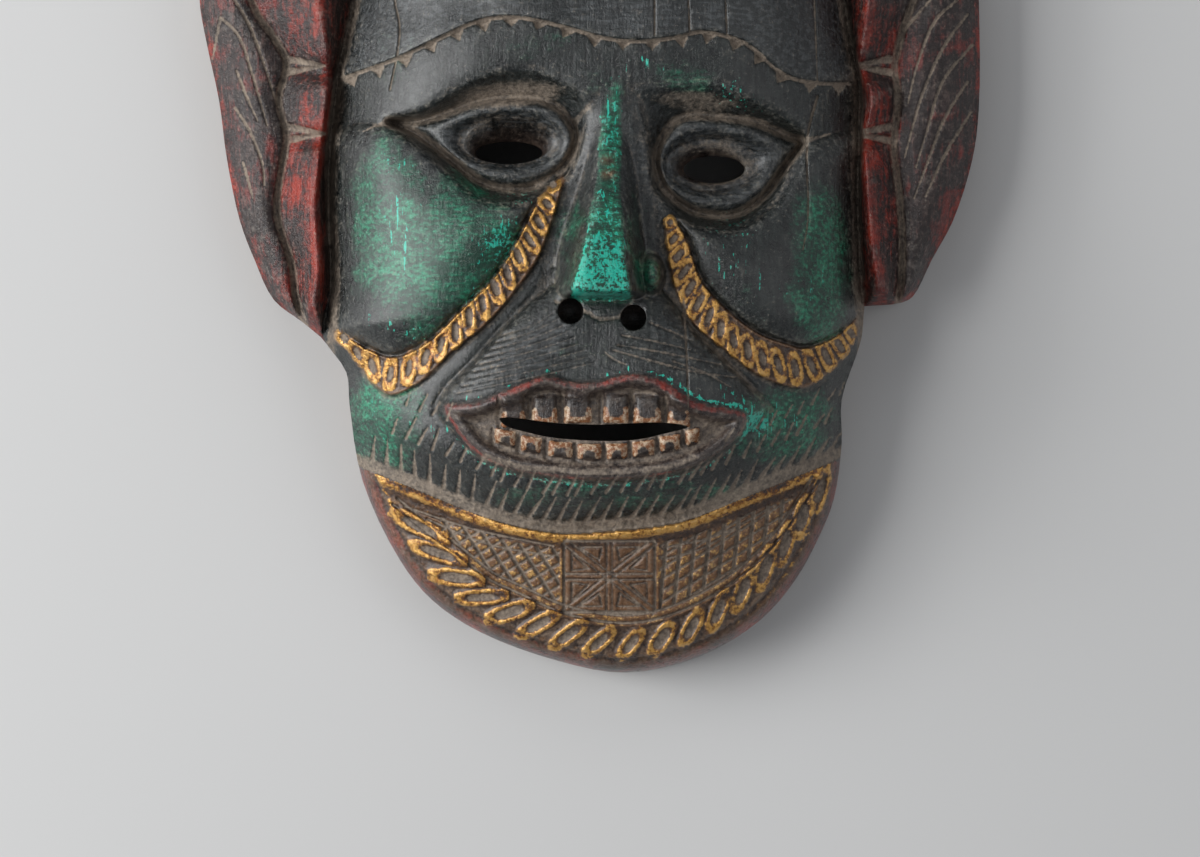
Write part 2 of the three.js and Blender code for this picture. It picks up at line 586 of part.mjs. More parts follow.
// Turns the finished solid into a geometry, drawn in by the draft and centred over its own box.
function finished(body) {
  const { vertProperties, triVerts } = body.getMesh();
  const geometry = new THREE.BufferGeometry();
  geometry.setAttribute('position', new THREE.BufferAttribute(new Float32Array(vertProperties), 3));
  geometry.setIndex(new THREE.BufferAttribute(new Uint32Array(triVerts), 1));
  const position = geometry.attributes.position;
  for (let i = 0; i < position.count; i++) {
    const draw = 1 - position.getZ(i) / DRAFT_HEIGHT;
    position.setX(i, DRAFT_AXIS[0] + (position.getX(i) - DRAFT_AXIS[0]) * draw);
    position.setY(i, DRAFT_AXIS[1] + (position.getY(i) - DRAFT_AXIS[1]) * draw);
  }
  geometry.computeBoundingBox();
  const centre = geometry.boundingBox.getCenter(new THREE.Vector3());
  geometry.translate(-centre.x, -centre.y, -geometry.boundingBox.min.z);
  geometry.computeVertexNormals();
  return geometry;
}

const paintedWood = new THREE.MeshStandardMaterial({ color: 0x1c4a3c, roughness: 0.45, metalness: 0 });
const mask = new THREE.Mesh(finished(carvedMask()), paintedWood);
mask.name = 'carved_mask';

const group = new THREE.Group();
group.add(mask);

export default group;
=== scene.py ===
"""A carved and painted wooden dance mask lying face up on a pale floor.

The front is drawn as heights on a square grid, in millimetres over the back plane: first the large
forms that the CAD solid has, then the cut lines, teeth, loops and lattice. A mesh that is finer where
the carving is finer follows those heights, and paint is kept as point attributes on it.
"""

import math

import bpy
import numpy as np
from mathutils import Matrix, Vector


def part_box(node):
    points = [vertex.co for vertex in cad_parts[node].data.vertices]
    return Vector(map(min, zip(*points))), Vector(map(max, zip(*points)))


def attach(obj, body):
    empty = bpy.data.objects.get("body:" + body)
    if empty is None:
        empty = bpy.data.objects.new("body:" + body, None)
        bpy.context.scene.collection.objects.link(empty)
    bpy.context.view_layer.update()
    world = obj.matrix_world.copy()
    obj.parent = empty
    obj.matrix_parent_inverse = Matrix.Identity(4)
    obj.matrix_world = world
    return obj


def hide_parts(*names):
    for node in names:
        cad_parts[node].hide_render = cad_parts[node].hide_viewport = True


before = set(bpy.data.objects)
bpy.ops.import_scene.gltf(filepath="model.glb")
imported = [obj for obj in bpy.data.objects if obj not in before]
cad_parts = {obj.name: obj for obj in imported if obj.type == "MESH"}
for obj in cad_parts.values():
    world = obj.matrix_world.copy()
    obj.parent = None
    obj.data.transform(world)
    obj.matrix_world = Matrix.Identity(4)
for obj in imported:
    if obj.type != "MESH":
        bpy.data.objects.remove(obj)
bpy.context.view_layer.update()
rng = np.random.default_rng(7)

# ---------------------------------------------------------------- sizes, in millimetres
FIELD = 145.0                # half the width of the square that the grids cover
WHOLE = (slice(None), slice(None))
FINE_STEPS = 1024
FORM_STEPS = 512
BACK_STEPS = 256
TRIANGLE_BUDGET = 188000
PAINT_WEIGHT = 0.32          # millimetres of height that a full change of paint counts as
FINEST_TOLERANCE = 0.06
BACK_TOLERANCE = 0.45

DRAFT_AXIS = (3.6, -67.4)
DRAFT_HEIGHT = 1033.0

WALL = 11.5
RIM = 13.0
HOLLOW_SLOPE = 2.4
EDGE_LEVEL = 14.0
SHOULDER = 62.0
SHOULDER_SHOWN = 0.045
BEVEL_FOOT = 13.0
BEVEL_WIDTH = 4.5
EAR_LIFT = 6.0
EAR_LIFT_FROM = 86.0
EAR_FOOT = -45.0
EAR_INNER = 66.0
CAP_STEP = 1.6
SOCKET_DEPTH = 9.0
LID_ROLL = 4.2
CHEEK_RISE = 6.5
MUZZLE_RISE = 7.0
LIP_RISE = 2.2
TOOTH_RISE = 2.2

CROWN = dict(centre=(3.2, 66.0), radius=76.5, start=0.12, end=math.pi - 0.12)

# Outlines and lines, as the few points that each curve passes through.
JAW_AND_CHIN = [
    (-79.5, -24.5), (-82.5, -38), (-75, -50), (-74, -60), (-70, -83.5), (-58.5, -108), (-48.5, -120.5),
    (-33.5, -130.5), (-9, -139.5), (11.5, -143), (34.5, -138), (53, -127), (64, -114.5), (71, -102),
    (76, -89.5), (78.5, -72), (78.5, -58.5), (84.5, -40), (85.5, -30),
]
LEFT_SIDE = [(-71.5, 78), (-72, 65.5), (-76.5, 45.5), (-78.5, 30), (-80, 12), (-80, -6)]
RIGHT_SIDE = [(84, -24.5), (83, 3.5), (83.5, 39), (82, 47), (78.5, 65.5), (77.5, 78)]
LEFT_EAR_EDGE = [
    (-71, 90), (-84, 99), (-99, 105), (-112, 97), (-119.5, 82), (-120.5, 65.5), (-118.5, 53), (-114.5, 34.5),
    (-112, 16), (-108, -3), (-103.5, -15), (-97.5, -27.5), (-88.5, -34.5), (-83, -39),
]
RIGHT_EAR_EDGE = [
    (85.5, -29.5), (96.5, -28.5), (100.5, -26.5), (106.5, -15), (113, -3), (119, 16), (121, 31.5),
    (121, 65.5), (120, 82), (113, 97), (101, 105), (87, 99), (76, 90),
]
LEFT_EAR = dict(
    side=-1,
    valley=[(-80, -45), (-79, -34), (-78.5, -21.5), (-80, 3.5), (-80, 19), (-76.5, 45.5), (-72, 65.5),
            (-70, 105)],
    crest=[(-82, -45), (-85.5, -32), (-84, -18.5), (-85, 3.5), (-83, 21.5), (-81.5, 34.5), (-81, 46),
           (-84, 65.5), (-84, 105)],
    groove=[(-84, -45), (-90.5, -27.5), (-92, -16), (-96.5, -1), (-94.5, 16), (-93.5, 23.5), (-96, 34.5),
            (-93.5, 46), (-97, 53), (-104.5, 65.5), (-104, 105)],
)
RIGHT_EAR = dict(
    side=1,
    valley=[(85, -45), (84, -24.5), (83, 3.5), (83.5, 39), (82, 47), (78.5, 65.5), (76, 105)],
    crest=[(88, -45), (91, -26), (89, -15), (87, 3.5), (86, 22), (88, 36), (84.5, 44.5), (87.5, 65.5),
           (88, 105)],
    groove=[(92, -45), (97, -21.5), (96.5, 3.5), (94.5, 20.5), (96, 34.5), (95, 44.5), (96.5, 53), (102, 70),
            (104, 105)],
)
EAR_LEVELS = dict(valley=25.0, crest=38.0, groove=27.0, edge=19.0, flange=3.5, rounding=10.0)
EAR_NOTCHES = dict(at=(43.0, 22.0), depth=6.0, width=3.2)

CAP_LINE = [
    (-80, 40), (-75, 41.5), (-58.5, 47.5), (-46, 53.5), (-33.5, 59), (-23, 60), (-13.5, 58.5), (-4, 56),
    (5, 53.5), (16, 52.5), (28.5, 54), (34.5, 55.5), (48.5, 52), (61, 42), (72, 39.5), (90, 40),
]
EYES = [
    dict(
        socket=[(-63, 28), (-52, 31.5), (-43, 37.5), (-33.5, 43), (-24.5, 45.5), (-15, 44.5), (-5.5, 40.5),
                (1, 35), (-1, 22), (-7, 8), (-15, 3), (-24, 1.5), (-34, 3.5), (-42, 10), (-50, 17),
                (-57, 23)],
        almond=[(-62.5, 27.5), (-54, 27.5), (-46, 29.5), (-33.5, 34), (-21, 35), (-13.5, 34), (-8, 30.5),
                (-4, 22.5), (-8, 13.5), (-14, 9), (-21, 7), (-32, 8.5), (-43, 16.5), (-54, 24.5)],
        rim=(-25.2, 21.7, 14.8, 7.2), throat=(-24.6, 18, 10.4, 3.5)),
    dict(
        socket=[(11.5, 38), (19, 39.5), (37.5, 41), (45.5, 39.5), (53, 34.5), (60, 30.5), (68, 23), (63, 13),
                (60, 6), (54, -1), (45.5, -6), (34, -5.5), (26, -1), (20, 6), (18, 18), (14, 30)],
        almond=[(66.5, 21.5), (62.5, 22.8), (51.5, 27.5), (41, 29), (31.5, 29.5), (26, 27), (21, 17),
                (23, 8), (28.5, 2.5), (34.5, -0.5), (45.5, -1), (54.5, 5), (58.5, 10.5), (62.5, 16)],
        rim=(38.3, 14.5, 13.8, 8), throat=(38.9, 12.9, 9.4, 4.2)),
]
CHEEKS = [
    [(-77, 24), (-66, 27), (-55, 22), (-44, 13), (-34, 5), (-22, 3.5), (-12, 7), (-15, 5), (-19.5, -3.5),
     (-25, -13.5), (-30.5, -21.5), (-40, -30.5), (-49, -39.5), (-58.5, -44.5), (-63, -44.5), (-72.5, -40),
     (-80, -34), (-80, -6)],
    [(82, 24), (70, 21), (64, 11), (57, 1), (46, -5), (35, -4.5), (27, -1.5), (31, -9), (33, -15),
     (35.5, -21.5), (43, -30), (53, -37.5), (62.5, -41), (67, -42), (76.5, -38.5), (84, -31.5), (84, -6)],
]
CHEEK_BANDS = [
    dict(upper=[(-79, -35.5), (-72.5, -40), (-63, -44.5), (-58.5, -44.5), (-49, -39.5), (-40, -30.5),
                (-30.5, -21.5), (-25, -13.5), (-19.5, -3.5), (-15, 5), (-8, 12)],
         lower=[(-7, 9.5), (-10.5, -3), (-15, -14.5), (-23, -26), (-32, -36), (-41.5, -43.5), (-52, -53.5),
                (-61.5, -57.5), (-67.5, -53.5), (-74, -44.5), (-80, -40)]),
    dict(upper=[(84, -31.5), (76.5, -38.5), (67, -42), (62.5, -41), (53, -37.5), (43, -30), (35.5, -21.5),
                (33, -15), (31, -9), (26, -0.5)],
         lower=[(23, -3), (24, -12), (26, -23), (31.5, -34.5), (41.5, -43), (52, -51), (62.5, -55),
                (68, -55), (78, -47.5), (85, -37)]),
]
MUZZLE = [
    (-9, -22), (-15, -26), (-27.5, -37), (-36.5, -47), (-44.5, -55.5), (-47, -61), (-41.5, -69), (-35, -76),
    (-24.5, -81), (-10.5, -83.5), (3.5, -84.5), (22, -83), (34.5, -79.5), (44, -73.5), (52, -66),
    (56.5, -60), (48.5, -52.5), (41, -44.5), (31.5, -35.5), (22, -24), (8, -22),
]
MOUTH = [
    (-45.5, -60), (-36.5, -59), (-24.5, -54.5), (-13.5, -50.5), (-4, -52.5), (3.5, -52), (13, -50),
    (22, -51.5),
    (34.5, -59), (49, -62.5), (49, -66.5), (44, -73), (34.5, -79), (22, -82.5), (3.5, -84), (-10.5, -83),
    (-24.5, -80.5), (-35, -75.5), (-41.5, -68),
]
SLIT = [
    (-27.5, -64.2), (-9, -65.8), (3.5, -66.2), (23.5, -65.6), (31, -66.9), (23.5, -69), (16, -70.7),
    (6.5, -71.3), (-10.5, -70.3), (-18, -68.8), (-26, -66.3),
]
UPPER_TEETH = dict(
    spans=[(-27, -19.5), (-17.5, -9.5), (-7.5, 1), (4.5, 12.5), (14, 22.5), (24.5, 31.5)],
    root=-56.5, edge=-65.6, bow=-0.002)
LOWER_TEETH = dict(
    spans=[(-29, -22.5), (-21, -14.5), (-12.5, -5), (-3.5, 4), (5.5, 12), (13.5, 20.5), (22, 28.5),
           (30, 34.5)],
    root=-77.2, edge=-72.2, bow=0.0055)
BEARD_LINE = [
    (-72, -79), (-63, -82.5), (-46, -89.5), (-27.5, -96.5), (-9, -100), (3.5, -99.5), (28.5, -96.5),
    (47, -89.5), (65.5, -82), (80, -76),
]
BEARD_RIM = dict(width=2.8, rise=2.0)
BEARD_LEVEL = dict(edge=26.0, rise=19.0, reach=43.0)
NOSE = dict(
    v=(-30, -23, -15, -3, 9.5, 22, 36, 44),
    base_left=(-12, -12, -13, -10.5, -6.5, -3, -1, 1),
    ridge=(-5.5, -5, -2.5, 0, 2.5, 3.5, 5, 6),
    shoulder=(14, 13, 11.5, 10.5, 10, 10, 10, 10),
    base_right=(21, 22, 21, 20, 19.5, 18.5, 15, 13),
    level=(79, 78.5, 76, 71.5, 66.5, 62, 59, 57),
    foot=49.0, tip_from=-24.5, tip_to=-29.5)
NOSTRILS = [(-5.5, -31), (14, -33)]
NOSTRIL = dict(radius=4.7, bottom=53.5)
SLIT_REACH = (2, -67.5, 30, 4.5)
RIGHT_ALA = dict(u=19.5, v=-20.0, a=4.5, b=7.5, level=67.0)
MIDDLE = dict(v=(-143, -115, -86, -50, -20, 10, 35, 55, 80, 110, 143),
              level=(48, 52, 56, 57, 56, 56, 59, 61, 60, 57, 52))
CHIN_FALL = dict(depth=10.0, reach=17.0)


# ---------------------------------------------------------------- small maths
def smooth(a, b, x):
    t = np.clip((x - a) / (b - a), 0.0, 1.0)
    return t * t * (3 - 2 * t)


def mix(a, b, t):
    return a + (b - a) * t


def bell(x, width):
    return np.exp(-(x / width) ** 2)


def dome(x):
    return np.sqrt(1 - (1 - np.clip(x, 0, 1)) ** 2)


def curve(points, closed=False, steps=4):
    """Points along the smooth (centripetal) spline through the given ones."""
    p = np.asarray(points, float)
    if closed:
        p = np.vstack([p[-1:], p, p[:2]])
    else:
        p = np.vstack([2 * p[:1] - p[1:2], p, 2 * p[-1:] - p[-2:-1]])
    a, b, c, d = (p[i:len(p) - 3 + i, None] for i in range(4))
    ab, bc, cd = (np.sqrt(np.linalg.norm(q - r, axis=2, keepdims=True)) for q, r in ((b, a), (c, b), (d, c)))
    leave = ((b - a) / ab - (c - a) / (ab + bc) + (c - b) / bc) * bc
    reach = ((c - b) / bc - (d - b) / (bc + cd) + (d - c) / cd) * bc
    t = np.linspace(0, 1, steps, endpoint=False)[None, :, None]
    run = b + leave * t + (3 * (c - b) - 2 * leave - reach) * t ** 2 + (2 * (b - c) + leave + reach) * t ** 3
    run = run.reshape(-1, 2)
    return run if closed else np.vstack([run, p[-2:-1]])


class Sheet:
    """A square grid over the field, on which heights and paint are worked out."""

    def __init__(self, steps):
        axis = np.linspace(-FIELD, FIELD, steps + 1)
        self.steps = steps
        self.step = 2 * FIELD / steps
        self.u, self.v = np.meshgrid(axis, axis)

    def blank(self, value=0.0):
        return np.full(self.u.shape, value)

    def window(self, points, margin):
        p = np.asarray(points, float)
        low = np.floor((p.min(0) - margin + FIELD) / self.step).astype(int)
        high = np.ceil((p.max(0) + margin + FIELD) / self.step).astype(int) + 1
        c0, r0 = np.clip(low, 0, self.steps + 1)
        c1, r1 = np.clip(high, 0, self.steps + 1)
        return slice(r0, r1), slice(c0, c1)

    def nearest(self, line, window):
        """Distance to a polyline, share of the way along it, and the side, positive on its left."""
        u, v = self.u[window], self.v[window]
        best = np.full(u.shape, np.inf)
        share = np.zeros(u.shape)
        side = np.zeros(u.shape)
        lengths = np.hypot(*np.diff(line, axis=0).T)
        total = max(lengths.sum(), 1e-9)
        gone = 0.0
        for (au, av), (bu, bv), length in zip(line[:-1], line[1:], lengths):
            du, dv = bu - au, bv - av
            t = np.clip(((u - au) * du + (v - av) * dv) / max(length ** 2, 1e-12), 0, 1)
            eu, ev = u - au - t * du, v - av - t * dv
            square = eu * eu + ev * ev
            closer = square < best
            best = np.where(closer, square, best)
            share = np.where(closer, (gone + t * length) / total, share)
            side = np.where(closer, du * ev - dv * eu, side)
            gone += length
        return np.sqrt(best), share, side

    def inside(self, loop, window):
        u, v = self.u[window], self.v[window]
        result = np.zeros(u.shape, bool)
        for (iu, iv), (ju, jv) in zip(loop, np.roll(loop, 1, axis=0)):
            if iv != jv:
                crosses = (iv > v) != (jv > v)
                result ^= crosses & (u < (ju - iu) * (v - iv) / (jv - iv) + iu)
        return result

    def depth(self, loop, margin):
        """Distance in from a closed outline, negative outside it down to -margin."""
        result = self.blank(-margin)
        window = self.window(loop, margin)
        distance = self.nearest(np.vstack([loop, loop[:1]]), window)[0]
        result[window] = np.where(self.inside(loop, window), distance, -np.minimum(distance, margin))
        return result

    def finer(self, values, times):
        """The same values on a grid with more steps, by straight interpolation."""
        old = np.linspace(0, 1, self.steps + 1)
        new = np.linspace(0, 1, self.steps * times + 1)
        rows = np.array([np.interp(new, old, row) for row in values])
        return np.array([np.interp(new, old, column) for column in rows.T]).T


def blurred(values, passes):
    for _ in range(passes):
        padded = np.pad(values, 1, mode="edge")
        rows = (padded[:-2, 1:-1] + 2 * padded[1:-1, 1:-1] + padded[2:, 1:-1]) / 4
        padded = np.pad(rows, 1, mode="edge")
        values = (padded[1:-1, :-2] + 2 * padded[1:-1, 1:-1] + padded[1:-1, 2:]) / 4
    return values


# ---------------------------------------------------------------- outlines
angles = np.linspace(CROWN["start"], CROWN["end"], 29)
crown_arc = np.array(CROWN["centre"]) + CROWN["radius"] * np.stack([np.cos(angles), np.sin(angles)], 1)
head_loop = np.vstack([curve(LEFT_SIDE)[1:], curve(JAW_AND_CHIN), curve(RIGHT_SIDE), crown_arc])
jaw = curve(JAW_AND_CHIN)
jaw_below_ears = jaw[((jaw[:, 0] > 0) & (jaw[:, 1] < -31)) | (jaw[:, 1] < -40)]
outline_loop = np.vstack([
    curve(LEFT_EAR_EDGE), jaw_below_ears, curve(RIGHT_EAR_EDGE), crown_arc[crown_arc[:, 1] > 92]])
beard_line = curve(BEARD_LINE)
cap_line = curve(CAP_LINE)


# ---------------------------------------------------------------- large forms
def head_form(sheet, depth):
    above, _, side = sheet.nearest(beard_line, WHOLE)
    gap = np.where(side > 0, above, 0)
    fall = np.where(sheet.v < -60, CHIN_FALL["depth"] * (1 - smooth(0, CHIN_FALL["reach"], gap)), 0)
    level = np.interp(sheet.v, MIDDLE["v"], MIDDLE["level"]) - fall
    face = EDGE_LEVEL + (level - EDGE_LEVEL) * dome(np.maximum(depth, 0) / SHOULDER + SHOULDER_SHOWN)
    window = sheet.window(CAP_LINE, 4)
    cap, _, side = sheet.nearest(cap_line, window)
    signed = sheet.blank(-4.0)
    signed[sheet.v > 50] = 4.0
    signed[window] = np.where(side > 0, cap, -cap)
    return face + CAP_STEP * smooth(-0.6, 0.6, signed)


def beard_form(sheet, z, depth):
    line, _, side = sheet.nearest(beard_line, WHOLE)
    slope = BEARD_LEVEL["edge"] + BEARD_LEVEL["rise"] * np.clip(depth / BEARD_LEVEL["reach"], 0, 1)
    bevel = BEVEL_FOOT + (BEARD_LEVEL["edge"] - BEVEL_FOOT) * dome(0.08 + depth / BEVEL_WIDTH)
    plate = np.where(depth < BEVEL_WIDTH, np.minimum(bevel, slope), slope)
    rim = BEARD_RIM["rise"] * (1 - smooth(BEARD_RIM["width"] * 0.8, BEARD_RIM["width"] * 1.2, line))
    below = (side <= 0) & (sheet.v < -60)
    return np.where(below, plate + rim * smooth(0, BEVEL_WIDTH, depth), z)


def eye_form(sheet, z):
    for eye in EYES:
        u0, v0, a, b = eye["rim"]
        in_socket = sheet.depth(curve(eye["socket"], True), 1.0)
        in_almond = sheet.depth(curve(eye["almond"], True), 30.0)
        share = in_socket / np.maximum(in_socket - in_almond, 1e-6)
        fall = np.where(in_almond >= 0, 1.0, share)
        ratio = np.hypot((sheet.u - u0) / a, (sheet.v - v0) / b)
        from_hole = np.maximum((ratio - 1) * b, 0)
        across = np.where(in_almond > 0, in_almond / (in_almond + from_hole + 1e-6), 0)
        change = SOCKET_DEPTH * smooth(0, 1, fall) - LID_ROLL * 4 * across * (1 - across)
        z = np.where(in_socket > 0, z - change, z)
    return z


def cheek_form(sheet, z):
    for cheek in CHEEKS:
        z = z + CHEEK_RISE * dome(sheet.depth(curve(cheek, True), 1.0) / 20)
    for band in CHEEK_BANDS:
        loop = np.vstack([curve(band["upper"]), curve(band["lower"])])
        z = z + 1.8 * smooth(0, 1.2, sheet.depth(loop, 1.0))
    return z


def nose_form(sheet, z):
    at = {name: np.interp(sheet.v, NOSE["v"], NOSE[name])
          for name in ("base_left", "ridge", "shoulder", "base_right", "level")}
    rise = np.clip((sheet.u - at["base_left"] + 2) / (at["ridge"] - at["base_left"] + 2), 0, None) ** 1.5
    sink = 1 - smooth(0, 1, (sheet.u - at["shoulder"] + 1) / (at["base_right"] - at["shoulder"] + 2))
    profile = np.where(sheet.u < at["ridge"], rise, np.where(sheet.u > at["shoulder"], sink, 1.0))
    across = np.clip((sheet.u - at["ridge"]) / (at["shoulder"] - at["ridge"]), 0, 1)
    tip = smooth(NOSE["tip_to"], NOSE["tip_from"], sheet.v)
    nose = NOSE["foot"] + (at["level"] - 2.5 * across - NOSE["foot"]) * profile * tip
    ratio = np.hypot((sheet.u - RIGHT_ALA["u"]) / RIGHT_ALA["a"],
    (sheet.v - RIGHT_ALA["v"]) / RIGHT_ALA["b"])
    ala = NOSE["foot"] + (RIGHT_ALA["level"] - NOSE["foot"]) * np.sqrt(np.clip(1 - ratio ** 2, 0, 1))
    near = (sheet.v > -31) & (sheet.v < 44) & (sheet.u > -16) & (sheet.u < 27)
    sharp = np.where(near, np.maximum(z, np.maximum(nose, ala)), z)
    at_ridge = smooth(4.5, 1.5, np.abs(sheet.u - at["ridge"])) * smooth(-29, -25, sheet.v) * near
    return mix(sharp, blurred(sharp, 9), at_ridge)


def teeth(sheet, row):
    """Blunt blocks with gaps between them, a little narrower at the gum than at the biting edge."""
    bow = row["bow"] * (sheet.u - 3) ** 2
    down = (sheet.v - bow - row["root"]) / (row["edge"] - row["root"])
    length = abs(row["edge"] - row["root"])
    end = np.minimum(down, 1 - down) * length
    result = sheet.blank()
    for start, stop in row["spans"]:
        half = (stop - start) / 2 - 0.5 + 0.5 * down
        side = half - np.abs(sheet.u - (start + stop) / 2)
        result = np.maximum(result, dome(np.clip(np.minimum(side, end), 0, 1.6) / 1.6))
    return result


def mouth_form(sheet, z):
    z = z + MUZZLE_RISE * dome(sheet.depth(curve(MUZZLE, True), 1.0) / 17)
    depth = sheet.depth(curve(MOUTH, True), 1.0)
    change = LIP_RISE * bell(depth - 2.4, 2) - 2.6 * smooth(3, 6.5, depth)
    change = change + TOOTH_RISE * (teeth(sheet, UPPER_TEETH) + 0.8 * teeth(sheet, LOWER_TEETH))
    return np.where(depth > 0, z + change, z)


def ear_form(sheet, outline_depth):
    result = sheet.blank()
    for ear in (LEFT_EAR, RIGHT_EAR):
        out = ear["side"] * sheet.u
        lines = {name: curve(ear[name]) for name in ("valley", "crest", "groove")}
        valley, crest, groove = (ear["side"] * np.interp(sheet.v, line[:, 1], line[:, 0])
                                 for line in lines.values())
        from_edge = np.maximum(outline_depth, 0)
        notch = sum(bell(sheet.v - at, EAR_NOTCHES["width"]) for at in EAR_NOTCHES["at"])
        top = EAR_LEVELS["crest"] - EAR_NOTCHES["depth"] * notch
        z = mix(EAR_LEVELS["valley"], top, smooth(0, 1, (out - valley) / (crest - valley)))
        down = np.clip((out - crest) / np.maximum(groove - crest, 1), 0, 1)
        z = np.where(out > crest, mix(top, EAR_LEVELS["groove"], down), z)
        share = np.clip(out - groove, 0, None) / (np.clip(out - groove, 0, None) + from_edge + 1e-6)
        flange = mix(EAR_LEVELS["groove"], EAR_LEVELS["edge"], share ** 2)
        flange = flange + EAR_LEVELS["flange"] * 4 * share * (1 - share)
        z = np.where(out > groove, flange, z)
        low = EAR_LEVELS["edge"] - 4
        cap = low + (top - low) * dome(0.1 + from_edge / EAR_LEVELS["rounding"])
        result = np.where(out > 0, np.minimum(z, cap), result)
    return result


def large_form(sheet):
    """Heights of the large carving, with the depths inside the head and inside the whole outline."""
    head = sheet.depth(head_loop, 60.0)
    outline = sheet.depth(outline_loop, 20.0)
    z = head_form(sheet, head)
    z = eye_form(sheet, z)
    z = cheek_form(sheet, z)
    z = mouth_form(sheet, z)
    z = nose_form(sheet, z)
    z = beard_form(sheet, z, head)
    ears = (head <= 0) & (sheet.v > EAR_FOOT) & (np.abs(sheet.u) > EAR_INNER)
    return np.where(ears, ear_form(sheet, outline), z), head, outline


# ---------------------------------------------------------------- fine carving
SHARP_LAYERS = ("dust", "gold", "red", "turquoise", "ivory", "umber", "maroon")
SOFT_LAYERS = ("ground", "green", "dark_paint_and_hole_shade", "slate_and_lid_sheen", "worn")
LAYERS = SHARP_LAYERS + SOFT_LAYERS


def unit(degrees):
    return np.array([math.cos(math.radians(degrees)), math.sin(math.radians(degrees))])


def spaced(line, count, start=0.0, end=0.0):
    """Points at even spacing along a line, with the line's heading in degrees at each."""
    steps = np.diff(line, axis=0)
    run = np.concatenate([[0], np.cumsum(np.hypot(*steps.T))])
    at = np.linspace(start, run[-1] - end, count)
    points = np.stack([np.interp(at, run, line[:, k]) for k in (0, 1)], 1)
    ahead = np.stack([np.interp(at + 0.5, run, line[:, k]) for k in (0, 1)], 1)
    behind = np.stack([np.interp(at - 0.5, run, line[:, k]) for k in (0, 1)], 1)
    heading = np.degrees(np.arctan2(*(ahead - behind).T[::-1]))
    return points, heading


class Carving:
    """Cuts, raised edges and paint, gathered stroke by stroke over the large form."""

    def __init__(self, sheet):
        self.sheet = sheet
        self.cut = sheet.blank()
        self.raised = sheet.blank()
        self.paint = {name: sheet.blank() for name in LAYERS}

    def cover(self, name, values):
        """Paint over the whole sheet, where it is stronger than what is there."""
        np.maximum(self.paint[name], values, out=self.paint[name])

    def sink(self, depths):
        np.maximum(self.cut, depths, out=self.cut)

    def lay(self, name, window, values):
        layer = self.paint[name]
        layer[window] = np.maximum(layer[window], values)

    def groove(self, line, width, depth, belly=0.0, spread=1.0, **paint):
        """A cut along a line. Width is the half width at its start and at its end."""
        line = np.asarray(line, float)
        start, end = width
        reach = max(start, end) * (1 + belly) * (1 + spread) + 0.6
        window = self.sheet.window(line, reach)
        distance, share, _ = self.sheet.nearest(line, window)
        half = mix(start, end, share) * (1 + belly * np.sin(np.pi * share))
        hollow = np.clip(1 - (distance / half) ** 2, 0, 1)
        deep = depth * np.minimum(1, half / max(start, end))
        self.cut[window] = np.maximum(self.cut[window], deep * hollow)
        for name, strength in paint.items():
            self.lay(name, window, strength * smooth(1 + 0.4 * spread, 0.5, distance / half))

    def chip(self, corners, depth, **paint):
        """A chip cut out as a shallow pyramid."""
        loop = np.asarray(corners, float)
        window = self.sheet.window(loop, 0.6)
        distance = self.sheet.nearest(np.vstack([loop, loop[:1]]), window)[0]
        inward = np.where(self.sheet.inside(loop, window), distance, -distance)
        self.cut[window] = np.maximum(self.cut[window], np.clip(inward * 1.4, 0, depth))
        for name, strength in paint.items():
            self.lay(name, window, strength * smooth(-0.25, 0.35, inward))

    def ring(self, centre, size, lean, rise, thick, slot, gilt=1.0):
        """A raised oval edge round a dusty slot, as cut with a gouge. Lean is that of its long side."""
        along_way = unit(lean)
        long_half, short_half = size
        window = self.sheet.window([centre], long_half + thick * 2)
        du, dv = self.sheet.u[window] - centre[0], self.sheet.v[window] - centre[1]
        along = du * along_way[0] + dv * along_way[1]
        across = dv * along_way[0] - du * along_way[1]
        squared = (np.abs(along) / long_half) ** 2.8 + (np.abs(across) / short_half) ** 2.5
        edge = (squared ** 0.38 - 1) * short_half
        top = rise * smooth(thick * 1.7, thick * 0.4, np.abs(edge))
        self.raised[window] = np.maximum(self.raised[window], top)
        self.cut[window] = np.maximum(self.cut[window], slot * smooth(-thick * 0.5, -thick * 1.4, edge))
        gilded = smooth(thick * 1.6, thick * 0.7, np.abs(edge))
        self.lay("gold", window, gilt * gilded)
        self.paint["dust"][window] *= 1 - gilded
        self.lay("dust", window, 0.8 * smooth(-thick * 0.7, -thick * 1.3, edge))

    def hatch(self, area, lean, pitch, half, depth, phase=0.0, dust=0.9):
        """Parallel cuts over an area, given as a 0 to 1 mask."""
        way = unit(lean + 90)
        place = (self.sheet.u * way[0] + self.sheet.v * way[1]) / pitch + phase
        distance = np.abs(place - np.round(place)) * pitch / half
        self.sink(area * depth * np.clip(1 - distance ** 2, 0, 1))
        self.cover("dust", area * dust * smooth(1.3, 0.6, distance))

    def spot(self, name, centre, size, strength, lean=0.0):
        """A soft patch of paint."""
        way = unit(lean)
        du, dv = self.sheet.u - centre[0], self.sheet.v - centre[1]
        ratio = np.hypot((du * way[0] + dv * way[1]) / size[0], (dv * way[0] - du * way[1]) / size[1])
        self.cover(name, strength * smooth(1.25, 0.35, ratio))


